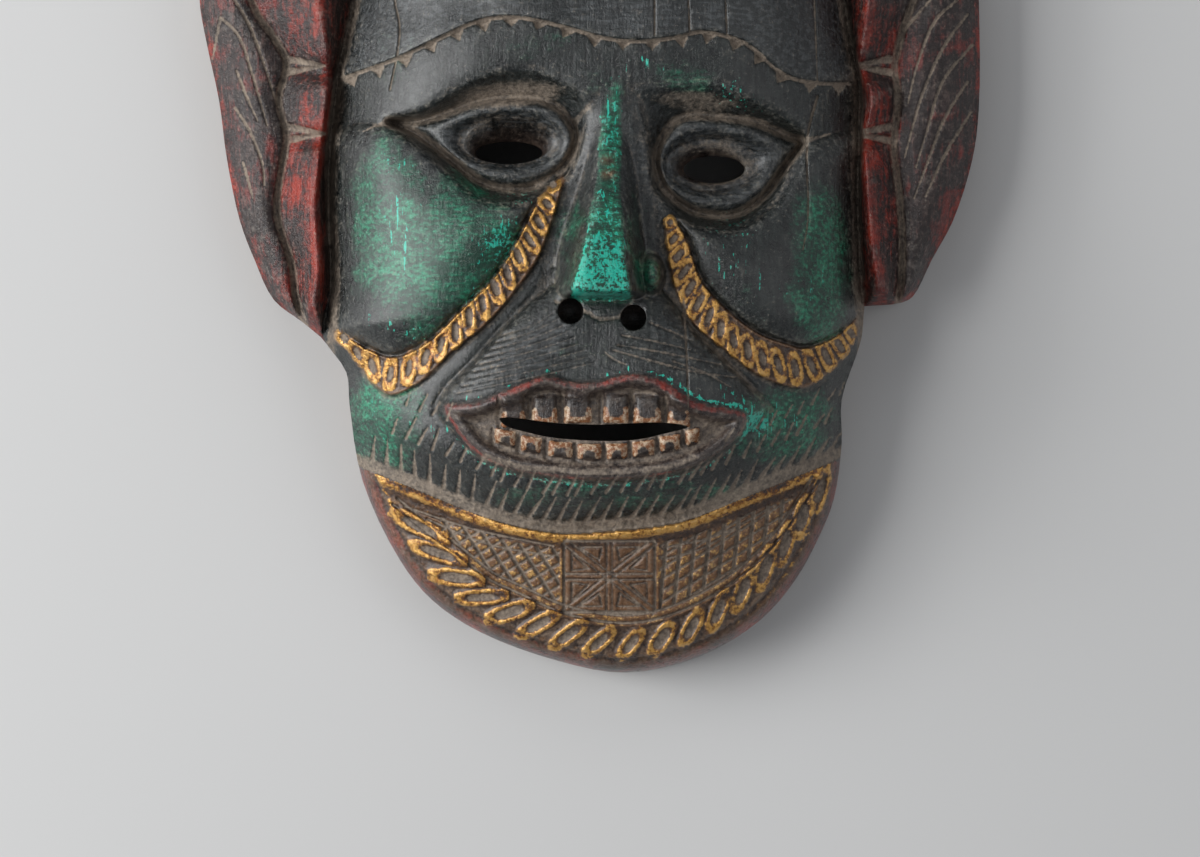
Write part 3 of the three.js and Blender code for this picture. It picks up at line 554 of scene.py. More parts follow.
CAP_TEETH = 19
BAND_PATHS = [
    dict(path=[(-10.5, 9.5), (-12.5, 3), (-17, -6), (-23, -15.5), (-33, -28.5), (-42.5, -38.5), (-53, -47),
               (-61, -50.5), (-69, -46.5), (-77, -38)],
         count=17, lean=([0, 0.25, 0.5, 0.72, 0.88, 1], [128, 114, 98, 72, 100, 122]), size=(4.3, 1.75)),
    dict(path=[(25, -2), (26.5, -9), (29, -17), (33, -26.5), (41, -36.5), (50, -43.5), (60, -48),
               (67.5, -48.5), (75.5, -44), (83, -36.5)],
         count=17, lean=([0, 0.2, 0.35, 0.55, 0.8, 1], [42, 50, 72, 97, 106, 122]), size=(4.3, 1.75)),
]
PLATE_LINE = [
    (-60, -90), (-49, -99), (-40, -105.5), (-30.5, -113), (-21, -117.5), (-9, -123), (3.5, -126),
    (13, -126.5), (22, -125), (34.5, -120), (47, -112), (56.5, -103), (65.5, -91), (70.5, -83),
]
LEAF_PATH = [
    (-53, -97), (-46, -107), (-39, -115.5), (-31, -121), (-22, -125.5), (-5.5, -131.5), (11.5, -134.3),
    (29, -130.5), (43.5, -121.5), (58.5, -106.5), (66, -95.5), (72.5, -86),
]
LEAF_COUNT = 17
LEAF_LEAN = ([0, 0.19, 0.38, 0.56, 0.8, 1], [-24, 4, 38, 58, 70, 76])
LEAF_LENGTH = ([0, 0.15, 0.5, 0.8, 1], [8.4, 7.4, 5.0, 6.4, 5.8])
PLATE_SPRAYS = [
    [(-57, -91.5), (-36, -98.5), (-11, -103.8)],
    [(-50, -95.5), (-32, -103), (-11, -107)],
    [(23, -104.5), (40, -100.5), (58, -91)],
    [(23, -108), (34, -105), (45, -99)],
]
SQUARE = dict(centre=(6.5, -113.3), half=(14, 11))
LEFT_EAR_CUTS = [
    [(-110.5, 67), (-105, 57.5), (-101, 47), (-97, 34.5)],
    [(-114, 60), (-108.5, 54.5), (-104.5, 43.5), (-99.5, 26.5)],
    [(-109, 43.5), (-105.5, 34.5), (-102.5, 28)],
    [(-109.5, 32), (-105, 25), (-101, 14.5), (-100.5, 8)],
    [(-107, 15), (-104, 4)],
    [(-114, 60), (-116.5, 47)],
    [(-111, 88), (-106, 78), (-104, 68)],
    [(-117, 78), (-112, 72), (-109, 64)],
]
RIGHT_EAR_CUTS = [
    [(106, 65.5), (98, 56), (95, 50)],
    [(114.5, 65.5), (107.5, 59), (102, 45.5), (99, 33.5)],
    [(117.5, 61), (110.5, 51.5), (103.5, 36), (98, 16.5)],
    [(119, 51.5), (110, 40.5), (105, 25), (101.5, 13.5)],
    [(117.5, 40), (110.5, 29), (106, 17.5), (101, 4)],
    [(118.5, 30.5), (110.5, 17.5), (104.5, 4.5)],
    [(112, 88), (107, 79), (104, 70)],
    [(118, 80), (113, 74), (109, 67)],
]
CRACKS = [
    [(31, 112), (30.5, 90), (31, 65.5), (31.5, 54.5)],
    [(42.5, 100), (42.5, 65.5), (43, 54.5)],
    [(20.5, 84), (20.5, 65.5), (20.5, 54.5)],
    [(69, 92), (70, 65.5), (71, 40.5)],
    [(71, 35.5), (68, 23.5), (68, -3), (66.5, -12)],
    [(29.5, -27.5), (30.5, -45), (31, -61.5)],
    [(-61, 84), (-60, 65.5), (-58.5, 57.5), (-59, 50), (-61.5, 37.5)],
]
MOUSTACHE_RIGHT = [
    [(19, -34.5), (25, -37), (31.5, -40)],
    [(10.5, -38.5), (21, -40.5), (31.5, -43)],
    [(9, -41.5), (24, -44), (41, -47.5)],
    [(7.5, -43), (20, -46.5), (31.5, -49.5), (45.5, -51.5)],
    [(5, -43.5), (8, -46), (11.5, -47.5)],
    [(26, -46.5), (36, -50), (44, -54.5)],
]
CREASES = [
    [(-10.5, -18.5), (-19, -28), (-27.5, -37), (-36, -47), (-44.5, -55.5), (-47, -60)],
    [(31.5, -35.5), (41, -44.5), (48.5, -52.5), (56.5, -61.5)],
]


def carve_cap(work):
    cap = curve(CAP_LINE)
    cap = cap[(cap[:, 0] > -78) & (cap[:, 0] < 81)]
    work.groove(cap, (0.8, 0.8), 0.9, dust=0.9)
    points, heading = spaced(cap, CAP_TEETH, 4.0, 3.0)
    for (u, v), way in zip(points, heading):
        turn = way + rng.uniform(-12, 12)
        half, fall = rng.uniform(2.6, 3.3), rng.uniform(3.2, 4.2)
        along, down = unit(turn), unit(turn - 90)
        corner = np.array([u, v])
        work.chip([corner - half * along, corner + down * fall, corner + half * along], 1.3, dust=0.95)


def carve_eyes(work):
    for eye in EYES:
        almond = curve(eye["almond"], True)
        work.groove(np.vstack([almond, almond[:1]]), (1.7, 1.7), 1.0, spread=1.8, dust=0.78)
        socket = curve(eye["socket"], True)
        work.groove(socket, (1.1, 1.1), 0.35, spread=2.5, dust=0.5)
        u0, v0, a, b = eye["rim"]
        work.spot("slate_and_lid_sheen", (u0, v0), (a + 22, b + 13), 0.95)
        work.spot("dust", (u0, v0), (a + 7, b + 6), 0.66)
        # Painted highlight: a lighter grey patch on the lid that stands in for the lamp's sheen there.
        work.spot("slate_and_lid_sheen", (u0 - 3, v0), (a + 10, b + 8), 1.0)
    work.groove([(-70, 24.5), (-66, 26.5), (-60, 27.5)], (0.3, 1.3), 0.9, dust=0.8)
    work.groove([(66, 21.5), (70, 22.5), (75, 24)], (1.3, 0.3), 0.9, dust=0.8)
    work.groove([(-5, 26.5), (-1, 31.5), (3.5, 36.5)], (1.5, 0.5), 0.9, dust=0.7)
    work.groove([(21, 19), (16.5, 25), (14, 33), (13, 40)], (1.3, 0.5), 0.8, dust=0.5)


def carve_nose(work):
    left = [(3.5, 38), (0.5, 30), (-3, 20), (-6.5, 9), (-10.5, -3), (-13.5, -14), (-13.5, -24)]
    right = [(13, 40), (18, 28), (20, 10), (21, -2), (23, -12)]
    for line in (left, right):
        work.groove(curve(line), (1.3, 1.8), 0.5, spread=1.8, dust=0.55)
    work.groove([(-10, -28), (0, -31.5), (3, -33.5), (9, -33), (13, -29)], (1.0, 1.0), 0.6, dust=0.7)
    work.groove([(13.5, -27), (13.3, -18), (12, -11)], (0.7, 0.4), 0.5, dust=0.4)
    for place in ((6.2, 16.5), (6.4, 11.5)):
        work.spot("ground", place, (2.6, 1.3), 1.0)
        work.spot("ivory", place, (1.6, 0.8), 0.8)
    sheet = work.sheet
    ridge, shoulder = (np.interp(sheet.v, NOSE["v"], NOSE[name]) for name in ("ridge", "shoulder"))
    along = smooth(-31, -27, sheet.v) * smooth(42, 36, sheet.v)
    plane = smooth(-0.8, 0.4, sheet.u - ridge) * smooth(1.5, -1.0, sheet.u - shoulder) * along
    work.cover("green", plane)
    work.cover("turquoise", plane * (0.56 + 0.16 * smooth(0, -18, sheet.v)))
    work.spot("green", (-6, -10), (7, 20), 0.55, lean=15)
    work.spot("green", (18, -20), (6, 9), 0.7)


def carve_bands(work):
    kept = 0
    for band, bank in zip(CHEEK_BANDS, BAND_PATHS):
        loop = np.vstack([curve(band["upper"]), curve(band["lower"])])
        area = work.sheet.depth(loop, 2.0)
        inside = smooth(-0.2, 0.8, area)
        work.cover("dust", 0.5 * inside)
        work.cover("ground", inside)
        work.cover("gold", 0.36 * inside)
        work.sink(0.9 * smooth(0.8, 1.7, area))
        points, _ = spaced(curve(bank["path"]), bank["count"], 1.5, 2.0)
        for i, (u, v) in enumerate(points):
            share = i / (bank["count"] - 1)
            fit = smooth(-0.15, 0.2, share) * (1 - 0.35 * smooth(0.88, 1.0, share))
            size = (bank["size"][0] * fit * rng.uniform(0.92, 1.06), bank["size"][1] * rng.uniform(0.9, 1.05))
            lean = np.interp(share, *bank["lean"]) + rng.uniform(-6, 6)
            work.ring((u, v), size, lean, 0.9, 0.66, 0.35, gilt=mix(0.72, 1.0, bell(u + 62, 18)))
        kept = np.maximum(kept, smooth(-0.9, 0.1, area))
        work.groove(curve(band["upper"]), (0.8, 0.8), 0.8, dust=0.55)
        work.groove(curve(band["lower"])[:-6] + (0.3, -0.6), (0.9, 0.9), 0.4, dust=0.6)
    work.raised *= kept
    work.paint["gold"] *= kept


def carve_mouth(work):
    mouth = curve(MOUTH, True)
    area = work.sheet.depth(mouth, 6.0)
    inside = smooth(0, 0.8, area)
    upper = smooth(-66, -60, work.sheet.v)
    work.cover("umber", inside)
    blocks = np.maximum(teeth(work.sheet, UPPER_TEETH), teeth(work.sheet, LOWER_TEETH))
    floor = inside * smooth(3.0, 5.5, area) * (1 - smooth(0.1, 0.6, blocks))
    work.cover("dust", floor * 0.72)
    work.cover("dark_paint_and_hole_shade", 0.35 * smooth(0.3, 0.9, blocks))
    edge = bell(area - 1.6, 1.5)
    right = smooth(8, 26, work.sheet.u)
    red = edge * upper * (0.62 + 0.35 * right) + bell(area - 0.9, 0.8) * (1 - upper) * (
        0.45 + 0.4 * smooth(-24, -34, work.sheet.u))
    work.cover("red", red * inside)
    blue = bell(area + 0.9, 1.0) * np.where(work.sheet.v < -70, 0.62, 0.45 + 0.35 * right)
    work.cover("turquoise", blue)
    work.spot("turquoise", (52, -66), (6, 6), 0.75)
    work.spot("turquoise", (45, -57), (7, 2.6), 0.6, lean=-28)
    for row in (UPPER_TEETH, LOWER_TEETH):
        for start, stop in row["spans"]:
            middle = (start + stop) / 2
            bow = row["bow"] * (middle - 3) ** 2
            tip = row["edge"] + bow
            half = (stop - start) / 2 - 0.6
            inward = math.copysign(0.8, row["root"] - row["edge"])
            line = [(middle - half, tip + inward * 5), (middle - half, tip + inward),
                    (middle + half, tip + inward), (middle + half, tip + inward * 5)]
            window = work.sheet.window(line, 3)
            distance = work.sheet.nearest(np.array(line), window)[0]
            work.lay("ivory", window, smooth(2.2, 0.3, distance) * 0.95)
            work.paint["dark_paint_and_hole_shade"][window] *= smooth(0.4, 1.8, distance)
            root = row["root"] + bow
            work.groove([(start - 0.7, tip), (start - 0.7, root)], (0.6, 0.9), 0.9, dust=0.7)
    work.groove([(-33, -76), (-20, -79.5), (3.5, -81), (22, -80), (33, -76.5)], (1.3, 1.3), 0.5, dust=0.75)


def carve_moustache(work):
    for i in range(9):
        t = i / 8
        start = mix(np.array([-11, -31.5]), np.array([2, -47]), t)
        end = mix(np.array([-27, -38.5]), np.array([-41, -56.5]), t)
        middle = (start + end) / 2 + unit(-20) * (1.5 - t)
        work.groove(curve([start, middle, end]), (0.45, 0.5), 0.4, dust=0.6)
    for line in MOUSTACHE_RIGHT:
        work.groove(curve(line), (0.5, 0.4), 0.5, belly=0.3, dust=0.7)
    work.groove(curve(CREASES[0]), (1.0, 1.6), 0.8, spread=1.5, dust=0.5)
    work.groove(curve(CREASES[1]), (1.0, 1.6), 0.9, spread=1.5, dust=0.65)
    work.spot("slate_and_lid_sheen", (-17, -43), (22, 9), 0.95, lean=38)
    work.spot("slate_and_lid_sheen", (27, -40), (15, 10), 0.55, lean=-30)


def carve_chin(work):
    """Three rows of short gouge strokes, like stubble, above the ledge over the beard."""
    away, _, side = work.sheet.nearest(beard_line, WHOLE)
    ledge = np.where((side > 0) & (np.abs(work.sheet.u) < 84), away, 99)
    work.cover("dust", 0.85 * smooth(5.4, 3.2, ledge))
    work.sink(0.5 * smooth(4.6, 3.4, ledge))
    points, heading = spaced(beard_line, 33, 4.0, 4.0)
    for (u, v), way in zip(points, heading):
        out = unit(way + 90)
        leftward = smooth(-20, -50, u)
        lean = mix(58, 88, leftward) + rng.uniform(-6, 6)
        foot = np.array([u, v]) + out * 3.6
        length = rng.uniform(7, 9)
        work.groove([foot, foot + unit(lean) * length], (1.0, 0.35), 0.9, dust=0.9)
        second = np.array([u, v]) + out * mix(12.0, 13.5, leftward) + unit(way) * rng.uniform(1.5, 3)
        slant = mix(60, 66, leftward) + rng.uniform(-7, 7)
        reach = rng.uniform(4.5, 7.5)
        work.groove([second, second + unit(slant) * reach], (0.7, 0.4), 0.7, dust=0.95)
        if u > 40 or u < -52:
            third = second + unit(64) * rng.uniform(8.5, 10.5)
            work.groove([third, third + unit(slant) * reach * 0.8], (0.65, 0.35), 0.6, dust=0.9)


def carve_beard(work, head_depth):
    sheet = work.sheet
    away, _, side = sheet.nearest(beard_line, WHOLE)
    below = (side <= 0) & (sheet.v < -60) & (head_depth > -1)
    rim = np.where(below, away, 99)
    plate = np.where(below, smooth(0.5, 1.5, head_depth), 0)
    work.cover("ground", plate)
    gilt_rim = mix(0.62, 0.9, bell(rim - 0.3, 1.6))
    work.cover("gold", smooth(3.8, 2.8, rim) * gilt_rim)
    bevel = mix(4.2, 2.8, smooth(10, 60, sheet.u))
    work.cover("red", np.where(below, smooth(bevel + 0.8, bevel - 0.8, head_depth), 0) * 0.55)
    work.cover("gold", np.where(below, bell(head_depth - bevel - 1.2, 0.8), 0) * 0.8)
    border = curve(PLATE_LINE)
    normal = np.gradient(border, axis=0)
    normal = np.stack([-normal[:, 1], normal[:, 0]], 1) / np.linalg.norm(normal, axis=1, keepdims=True)
    for shift in (-1.1, 1.3):
        work.groove(border + normal * shift, (0.55, 0.55), 0.9, dust=0.85)
    work.cover("gold", np.where(below, plate * 0.42, 0))
    work.paint["gold"] *= np.where(below, smooth(bevel - 1.0, bevel + 0.6, head_depth), 1)
    line_depth, _, above = sheet.nearest(border, WHOLE)
    margin = np.where((above <= 0) & below, smooth(1.8, 2.8, line_depth), 0) * smooth(3.6, 5.0, head_depth)
    work.cover("dust", 0.58 * margin)
    work.paint["gold"] *= 1 - 0.8 * margin
    work.sink(0.7 * margin)
    carve_leaves(work)
    carve_square(work)
    field = np.where((above > 0) & below, np.minimum(line_depth - 1.6, rim - 4.4), -1)
    u0, u1 = SQUARE["centre"][0] - SQUARE["half"][0], SQUARE["centre"][0] + SQUARE["half"][0]
    left = smooth(0, 0.5, field) * (sheet.u < u0 - 1.5) * (sheet.u > -46)
    right = smooth(0, 0.5, field) * (sheet.u > u1 + 1.5) * (sheet.u < 63)
    work.hatch(left, -58, 4.0, 0.75, 1.1, 0.2)
    work.hatch(left, 30, 3.0, 0.5, 0.8, 0.0)
    work.hatch(right, 84, 4.3, 0.75, 1.1, 0.1)
    work.hatch(right, 32, 3.0, 0.5, 0.8, 0.3)


def carve_leaves(work):
    points, _ = spaced(curve(LEAF_PATH), LEAF_COUNT, 1.0, 1.0)
    for i, centre in enumerate(points):
        share = i / (LEAF_COUNT - 1)
        lean = np.interp(share, *LEAF_LEAN) + rng.uniform(-4, 4)
        size = (np.interp(share, *LEAF_LENGTH), rng.uniform(1.9, 2.3))
        work.ring(centre, size, lean, 0.9, 0.62, 0.3, gilt=mix(0.85, 0.6, share))
    for line in PLATE_SPRAYS:
        work.groove(curve(line), (0.5, 0.5), 0.8, dust=0.85)


def carve_square(work):
    """The panel in the middle: a star of eight rays with nested corners between them."""
    centre = np.array(SQUARE["centre"])
    half = np.array(SQUARE["half"])
    corners = [centre + half * s for s in ((-1, 1), (1, 1), (1, -1), (-1, -1))]
    middles = [(a + b) / 2 for a, b in zip(corners, corners[1:] + corners[:1])]
    ends = [end for pair in zip(corners, middles) for end in pair]
    for i, end in enumerate(ends):
        following = ends[(i + 1) % 8]
        aside = unit(math.degrees(math.atan2(*(end - centre)[::-1])) + 90)
        for shift in (-0.9, 0.9):
            work.groove([centre + aside * shift, end + aside * shift], (0.35, 0.45), 0.7, dust=0.8)
        work.groove([end, following], (0.6, 0.6), 0.9, dust=0.85)
        heart = (centre + end + following) / 3
        inner = [mix(heart, corner, 0.5) for corner in (mix(centre, heart, 0.4), end, following)]
        work.groove(np.array(inner + inner[:1]), (0.4, 0.4), 0.7, dust=0.8)
    work.paint["gold"] *= 1 - 0.45 * work.sheet.inside(np.array(corners), WHOLE)


def distance_to(sheet, line):
    return sheet.nearest(line, WHOLE)[0]


def carve_ears(work, head_depth, outline_depth):
    sheet = work.sheet
    ears = (head_depth <= 0) & (sheet.v > EAR_FOOT) & (np.abs(sheet.u) > EAR_INNER)
    work.cover("maroon", ears * smooth(-0.4, 0.4, outline_depth + 0.4))
    for ear, cuts in ((LEFT_EAR, LEFT_EAR_CUTS), (RIGHT_EAR, RIGHT_EAR_CUTS)):
        side = ear["side"]
        work.groove(curve(ear["groove"]), (1.4, 1.4), 1.4, spread=1.4, dust=0.8)
        work.groove(curve(ear["valley"]), (1.8, 1.8), 0.9, spread=1.6, dust=0.8)
        for cut in cuts:
            work.groove(curve(cut), (0.6, 0.4), 0.6, belly=0.3, dust=0.9)
        for at in EAR_NOTCHES["at"]:
            inner = (side * 82, at + 2)
            for rise in (4.1, -0.1):
                outer = (side * 93.5, at + rise)
                work.groove([outer, inner], (1.6, 0.8), 1.3, dust=0.85)
        crest = curve(ear["crest"])
        window = sheet.window(crest, 5)
        distance = sheet.nearest(crest, window)[0]
        work.lay("red", window, 0.75 * smooth(3.4, 0.8, distance) * ears[window])
        rim = ears * smooth(3.0, 0.8, outline_depth) * (sheet.v < 92)
        work.cover("red", 0.5 * rim)
        ridge = ears * smooth(14, 10, distance_to(sheet, crest)) * (side * sheet.u < 97)
        work.cover("red", 0.42 * ridge * smooth(0, 2, distance_to(sheet, curve(ear["valley"]))))


def paint_regions(work, head_depth):
    """Broad areas of worn sea-green paint over the near-black ground."""
    for centre, size, strength, lean in [
        ((-47, -14), (34, 30), 0.9, 30), ((-30, -14), (16, 12), 1.0, 45), ((-62, -2), (16, 34), 0.75, 0),
        ((72, -20), (13, 40), 0.75, 0), ((60, -66), (22, 16), 0.85, 10), ((-62, -64), (16, 22), 0.85, 0),
        ((3, 38), (14, 10), 0.45, 0), ((48, -30), (24, 14), 0.35, 0), ((10, -88), (60, 7), 0.5, 0),
        ((-20, 62), (60, 40), 0.18, 0), ((0, -45), (18, 8), 0.35, 0), ((-58, 48), (14, 16), 0.35, 0),
        ((-6, -12), (8, 26), 0.5, -12), ((16, -10), (7, 24), 0.5, 8), ((30, 42), (18, 8), 0.5, -10),
        ((-20, 50), (26, 7), 0.42, 12),
    ]:
        work.spot("green", centre, size, strength, lean)
    for centre, size, strength, lean in [
        ((-29, -11), (12, 9), 0.64, 45), ((-60, -36), (14, 5), 0.45, -20), ((44, -12), (12, 20), 0.36, 0),
        ((62, -24), (16, 14), 0.34, 0), ((17, 45), (11, 7), 0.42, 0), ((-34, -29), (11, 7), 0.62, 45),
        ((-20, 4), (8, 5), 0.36, 0), ((56, -64), (16, 8), 0.42, 0), ((-60, -62), (12, 14), 0.36, 0),
        ((4, 44), (7, 7), 0.36, 0), ((-58, -4), (9, 22), 0.44, 0), ((44, 36), (16, 7), 0.38, -20),
        ((-46, -66), (8, 6), 0.4, -30), ((8, -79), (30, 5), 0.34, 0), ((-62, 14), (12, 6), 0.34, 0),
    ]:
        work.spot("turquoise", centre, size, strength, lean)
    for centre, size, strength, lean in [
        ((-24, 36), (24, 6), 0.85, 6), ((34, 34), (20, 5), 0.7, -4), ((-1, 24), (5, 16), 0.4, 0),
        ((14, 24), (4, 14), 0.4, 0), ((-13, -20), (4, 14), 0.5, -20), ((20, -18), (4, 14), 0.5, 14),
        ((-18, -36), (10, 5), 0.4, 30), ((62, 30), (10, 12), 0.36, 0),
    ]:
        work.spot("dust", centre, size, strength, lean)
    temple = smooth(6.5, 1.5, head_depth) * smooth(-46, -30, work.sheet.v) * smooth(70, 50, work.sheet.v)
    work.cover("dust", 0.55 * temple * (head_depth > 0))
    cap = smooth(0, 2, work.sheet.v - np.interp(work.sheet.u, *zip(*CAP_LINE)))
    work.cover("slate_and_lid_sheen", 0.8 * cap)
    work.spot("slate_and_lid_sheen", (0, 30), (70, 30), 0.45)


def hand_wobble(sheet, cell, strength):
    """Gentle unevenness from the knife, from random heights on a coarse grid."""
    coarse = Sheet(sheet.steps // cell)
    rough = blurred(rng.normal(0, 1, coarse.u.shape), 1)
    return strength * blurred(coarse.finer(rough, cell), cell // 2)


# ---------------------------------------------------------------- from heights to a mesh
def stray_errors(fields, steps):
    """How far each midpoint strays from a straight edge, counting the finer midpoints below it.

    Fields are pairs of values and weights over the grid; the largest weighted stray counts.
    """
    errors = np.zeros((steps + 1, steps + 1))
    half = 1
    while half < steps:
        wide = 2 * half
        for turned in (False, True):
            grid = errors.T if turned else errors
            spot = grid[0::wide, half::wide]
            for values, weight in fields:
                f, w = (values.T, weight.T) if turned else (values, weight)
                line = (f[0::wide, 0:-1:wide] + f[0::wide, wide::wide]) / 2
                stray = w[0::wide, half::wide] * np.abs(f[0::wide, half::wide] - line)
                np.maximum(spot, stray, out=spot)
            if half > 1:
                quarter = half // 2
                for shift in (-quarter, quarter):
                    columns = grid[:, half + shift::wide]
                    np.maximum(spot[:-1], columns[quarter::wide], out=spot[:-1])
                    np.maximum(spot[1:], columns[wide - quarter::wide], out=spot[1:])
        spot = errors[half::wide, half::wide]
        index = np.arange(steps // wide)
        odd = (index[:, None] + index[None, :]) % 2 == 1
        for f, w in fields:
            rising = f[0:-1:wide, 0:-1:wide] + f[wide::wide, wide::wide]
            falling = f[0:-1:wide, wide::wide] + f[wide::wide, 0:-1:wide]
            line = np.where(odd, falling, rising) / 2
            np.maximum(spot, w[half::wide, half::wide] * np.abs(f[half::wide, half::wide] - line), out=spot)
        for child in (errors[half::wide, 0:-1:wide], errors[half::wide, wide::wide],
                      errors[0:-1:wide, half::wide], errors[wide::wide, half::wide]):
            np.maximum(spot, child, out=spot)
        half = wide
    return errors


def followed(errors, steps, tolerance):
    """Triangles, as grid places, that follow the fields to within the tolerance."""
    a = np.array([[0, 0], [steps, steps]])
    b = a[::-1].copy()
    c = np.array([[steps, 0], [0, steps]])
    kept = []
    while len(a):
        m = (a + b) // 2
        split = (np.abs(a - c).sum(1) > 1) & (errors[m[:, 1], m[:, 0]] > tolerance)
        kept.append(np.stack([a, c, b], 1)[~split])
        a, b, c, m = a[split], b[split], c[split], m[split]
        a, b, c = np.vstack([c, b]), np.vstack([a, c]), np.vstack([m, m])
    return np.vstack(kept)


def block(name, sheet, heights, triangles, bottom):
    """A closed block: the heights on top, straight sides and a flat bottom."""
    steps = sheet.steps
    flat = triangles[..., 1] * (steps + 1) + triangles[..., 0]
    used, corners = np.unique(flat, return_inverse=True)
    corners = corners.reshape(-1, 3)
    places = np.stack([used % (steps + 1), used // (steps + 1)], 1)
    uv = places * sheet.step - FIELD
    top = np.column_stack([uv, heights.ravel()[used]])
    edges = np.vstack([corners[:, [0, 1]], corners[:, [1, 2]], corners[:, [2, 0]]])
    ends = places[edges]
    level = ends[:, 0] == ends[:, 1]
    on_side = (level & ((ends[:, 0] == 0) | (ends[:, 0] == steps))).any(1)
    edges = edges[on_side]
    border, index = np.unique(edges, return_inverse=True)
    index = index.reshape(-1, 2) + len(top)
    low = np.column_stack([uv[border], np.full(len(border), bottom)])
    centre = len(top) + len(low)
    start, stop = edges.T
    low_start, low_stop = index.T
    walls = np.vstack([
        np.stack([stop, start, low_start], 1), np.stack([stop, low_start, low_stop], 1),
        np.stack([np.full(len(edges), centre), low_stop, low_start], 1)])
    return closed_mesh(name, np.vstack([top, low, [[0, 0, bottom]]]), np.vstack([corners, walls]))


def closed_mesh(name, points, faces):
    mesh = bpy.data.meshes.new(name)
    mesh.vertices.add(len(points))
    mesh.vertices.foreach_set("co", np.asarray(points, float).ravel())
    sizes = np.array([len(face) for face in faces])
    mesh.loops.add(int(sizes.sum()))
    mesh.loops.foreach_set("vertex_index", np.concatenate(faces).astype(np.int32))
    mesh.polygons.add(len(sizes))
    mesh.polygons.foreach_set("loop_start", np.concatenate([[0], np.cumsum(sizes)[:-1]]).astype(np.int32))
    mesh.polygons.foreach_set("loop_total", sizes.astype(np.int32))
    mesh.update(calc_edges=True)
    made = bpy.data.objects.new(name, mesh)
    bpy.context.collection.objects.link(made)
    return made


def prism(name, loop, low, high):
    loop = np.asarray(loop, float)
    count = len(loop)
    area = np.sum(loop[:, 0] * np.roll(loop[:, 1], -1) - loop[:, 1] * np.roll(loop[:, 0], -1))
    if area < 0:
        loop = loop[::-1]
    points = np.vstack([np.column_stack([loop, np.full(count, z)]) for z in (low, high)])
    i = np.arange(count)
    n = (i + 1) % count
    sides = np.stack([i, n, n + count, i + count], 1).tolist()
    return closed_mesh(name, points, [i[::-1].tolist(), (i + count).tolist()] + sides)


def bore(name, sections, around=40):
    """A closed plug through stacked ellipses, each (z, u, v, a, b)."""
    angle = np.linspace(0, 2 * math.pi, around, endpoint=False)
    points = np.vstack([
        np.column_stack([u + a * np.cos(angle), v + b * np.sin(angle), np.full(around, z)])
        for z, u, v, a, b in sections])
    i = np.arange(around)
    n = (i + 1) % around
    faces = [i[::-1].tolist(), (i + around * (len(sections) - 1)).tolist()]
    for k in range(len(sections) - 1):
        low = k * around
        faces += np.stack([low + i, low + n, low + around + n, low + around + i], 1).tolist()
    return closed_mesh(name, points, faces)


def joined(body, tool, operation):
    """Cuts one closed mesh with another, or keeps what both hold."""
    modifier = body.modifiers.new("join", "BOOLEAN")
    modifier.operation = operation
    modifier.object = tool
    modifier.solver = "MANIFOLD"
    result = bpy.data.meshes.new_from_object(body.evaluated_get(bpy.context.evaluated_depsgraph_get()))
    body.modifiers.remove(modifier)
    body.data = result
    bpy.data.objects.remove(tool)


def hollow_ceiling(sheet, heights, head_depth):
    """Ceiling of the hollow: a ball of the wall's thickness rolled under the front."""
    reach = int(math.ceil(WALL / sheet.step))
    padded = np.pad(heights, reach, mode="edge")
    ceiling = (head_depth - RIM) * HOLLOW_SLOPE
    size = sheet.steps + 1
    for j in range(-reach, reach + 1):
        for i in range(-reach, reach + 1):
            flat = math.hypot(i, j) * sheet.step
            if flat <= WALL:
                moved = padded[reach + j:reach + j + size, reach + i:reach + i + size]
                ceiling = np.minimum(ceiling, moved - math.sqrt(WALL ** 2 - flat ** 2))
    ceiling = np.maximum(blurred(np.maximum(ceiling, -8), 14), -8)
    row = np.floor(sheet.v / 17)
    across = np.abs(np.sin((sheet.u + 3 * np.sin(row * 2.4)) / 3.1))
    scoop = across * np.abs(np.sin(sheet.v / 17 * math.pi)) ** 0.4
    return ceiling - 0.7 * scoop * smooth(2, 8, ceiling)


def eye_plug(number, eye):
    u, v, a, b = eye["throat"]
    u1, v1, a1, b1 = eye["rim"]
    return bore(f"eye_{number}", [
        (2, u, v, a + 2.5, b + 1.5), (36, u, v, a + 0.6, b + 0.6), (39.5, u, v, a, b), (42, u, v, a, b),
        (49.5, u1, v1, a1, b1), (90, u1, v1, a1, b1)])


def ear_wedge(sign):
    inner, outer = sign * EAR_LIFT_FROM, sign * 130
    profile = [(inner, -1), (outer, -1), (outer, EAR_LIFT * 1.25), (inner, 0)]
    if sign < 0:
        profile = profile[::-1]
    points = [(u, v, z) for v in (-FIELD, FIELD) for u, z in profile]
    faces = [[0, 1, 2, 3], [7, 6, 5, 4]] + [[k, k + 4, (k + 1) % 4 + 4, (k + 1) % 4] for k in range(4)]
    return closed_mesh("wedge", points, faces)


def sampled(sheet, values, u, v):
    """Values of a grid at any places on it."""
    x = np.clip((u + FIELD) / sheet.step, 0, sheet.steps - 1e-6)
    y = np.clip((v + FIELD) / sheet.step, 0, sheet.steps - 1e-6)
    i, j = x.astype(int), y.astype(int)
    s, t = x - i, y - j
    low = values[j, i] * (1 - s) + values[j, i + 1] * s
    high = values[j + 1, i] * (1 - s) + values[j + 1, i + 1] * s
    return low * (1 - t) + high * t


def carved(sheet, head_depth, outline_depth):
    work = Carving(sheet)
    paint_regions(work, head_depth)
    carve_cap(work)
    carve_nose(work)
    carve_eyes(work)
    carve_bands(work)
    carve_mouth(work)
    carve_moustache(work)
    carve_chin(work)
    carve_beard(work, head_depth)
    carve_ears(work, head_depth, outline_depth)
    for crack in CRACKS:
        work.groove(curve(crack), (0.55, 0.35), 1.1, dust=0.85)
    return work


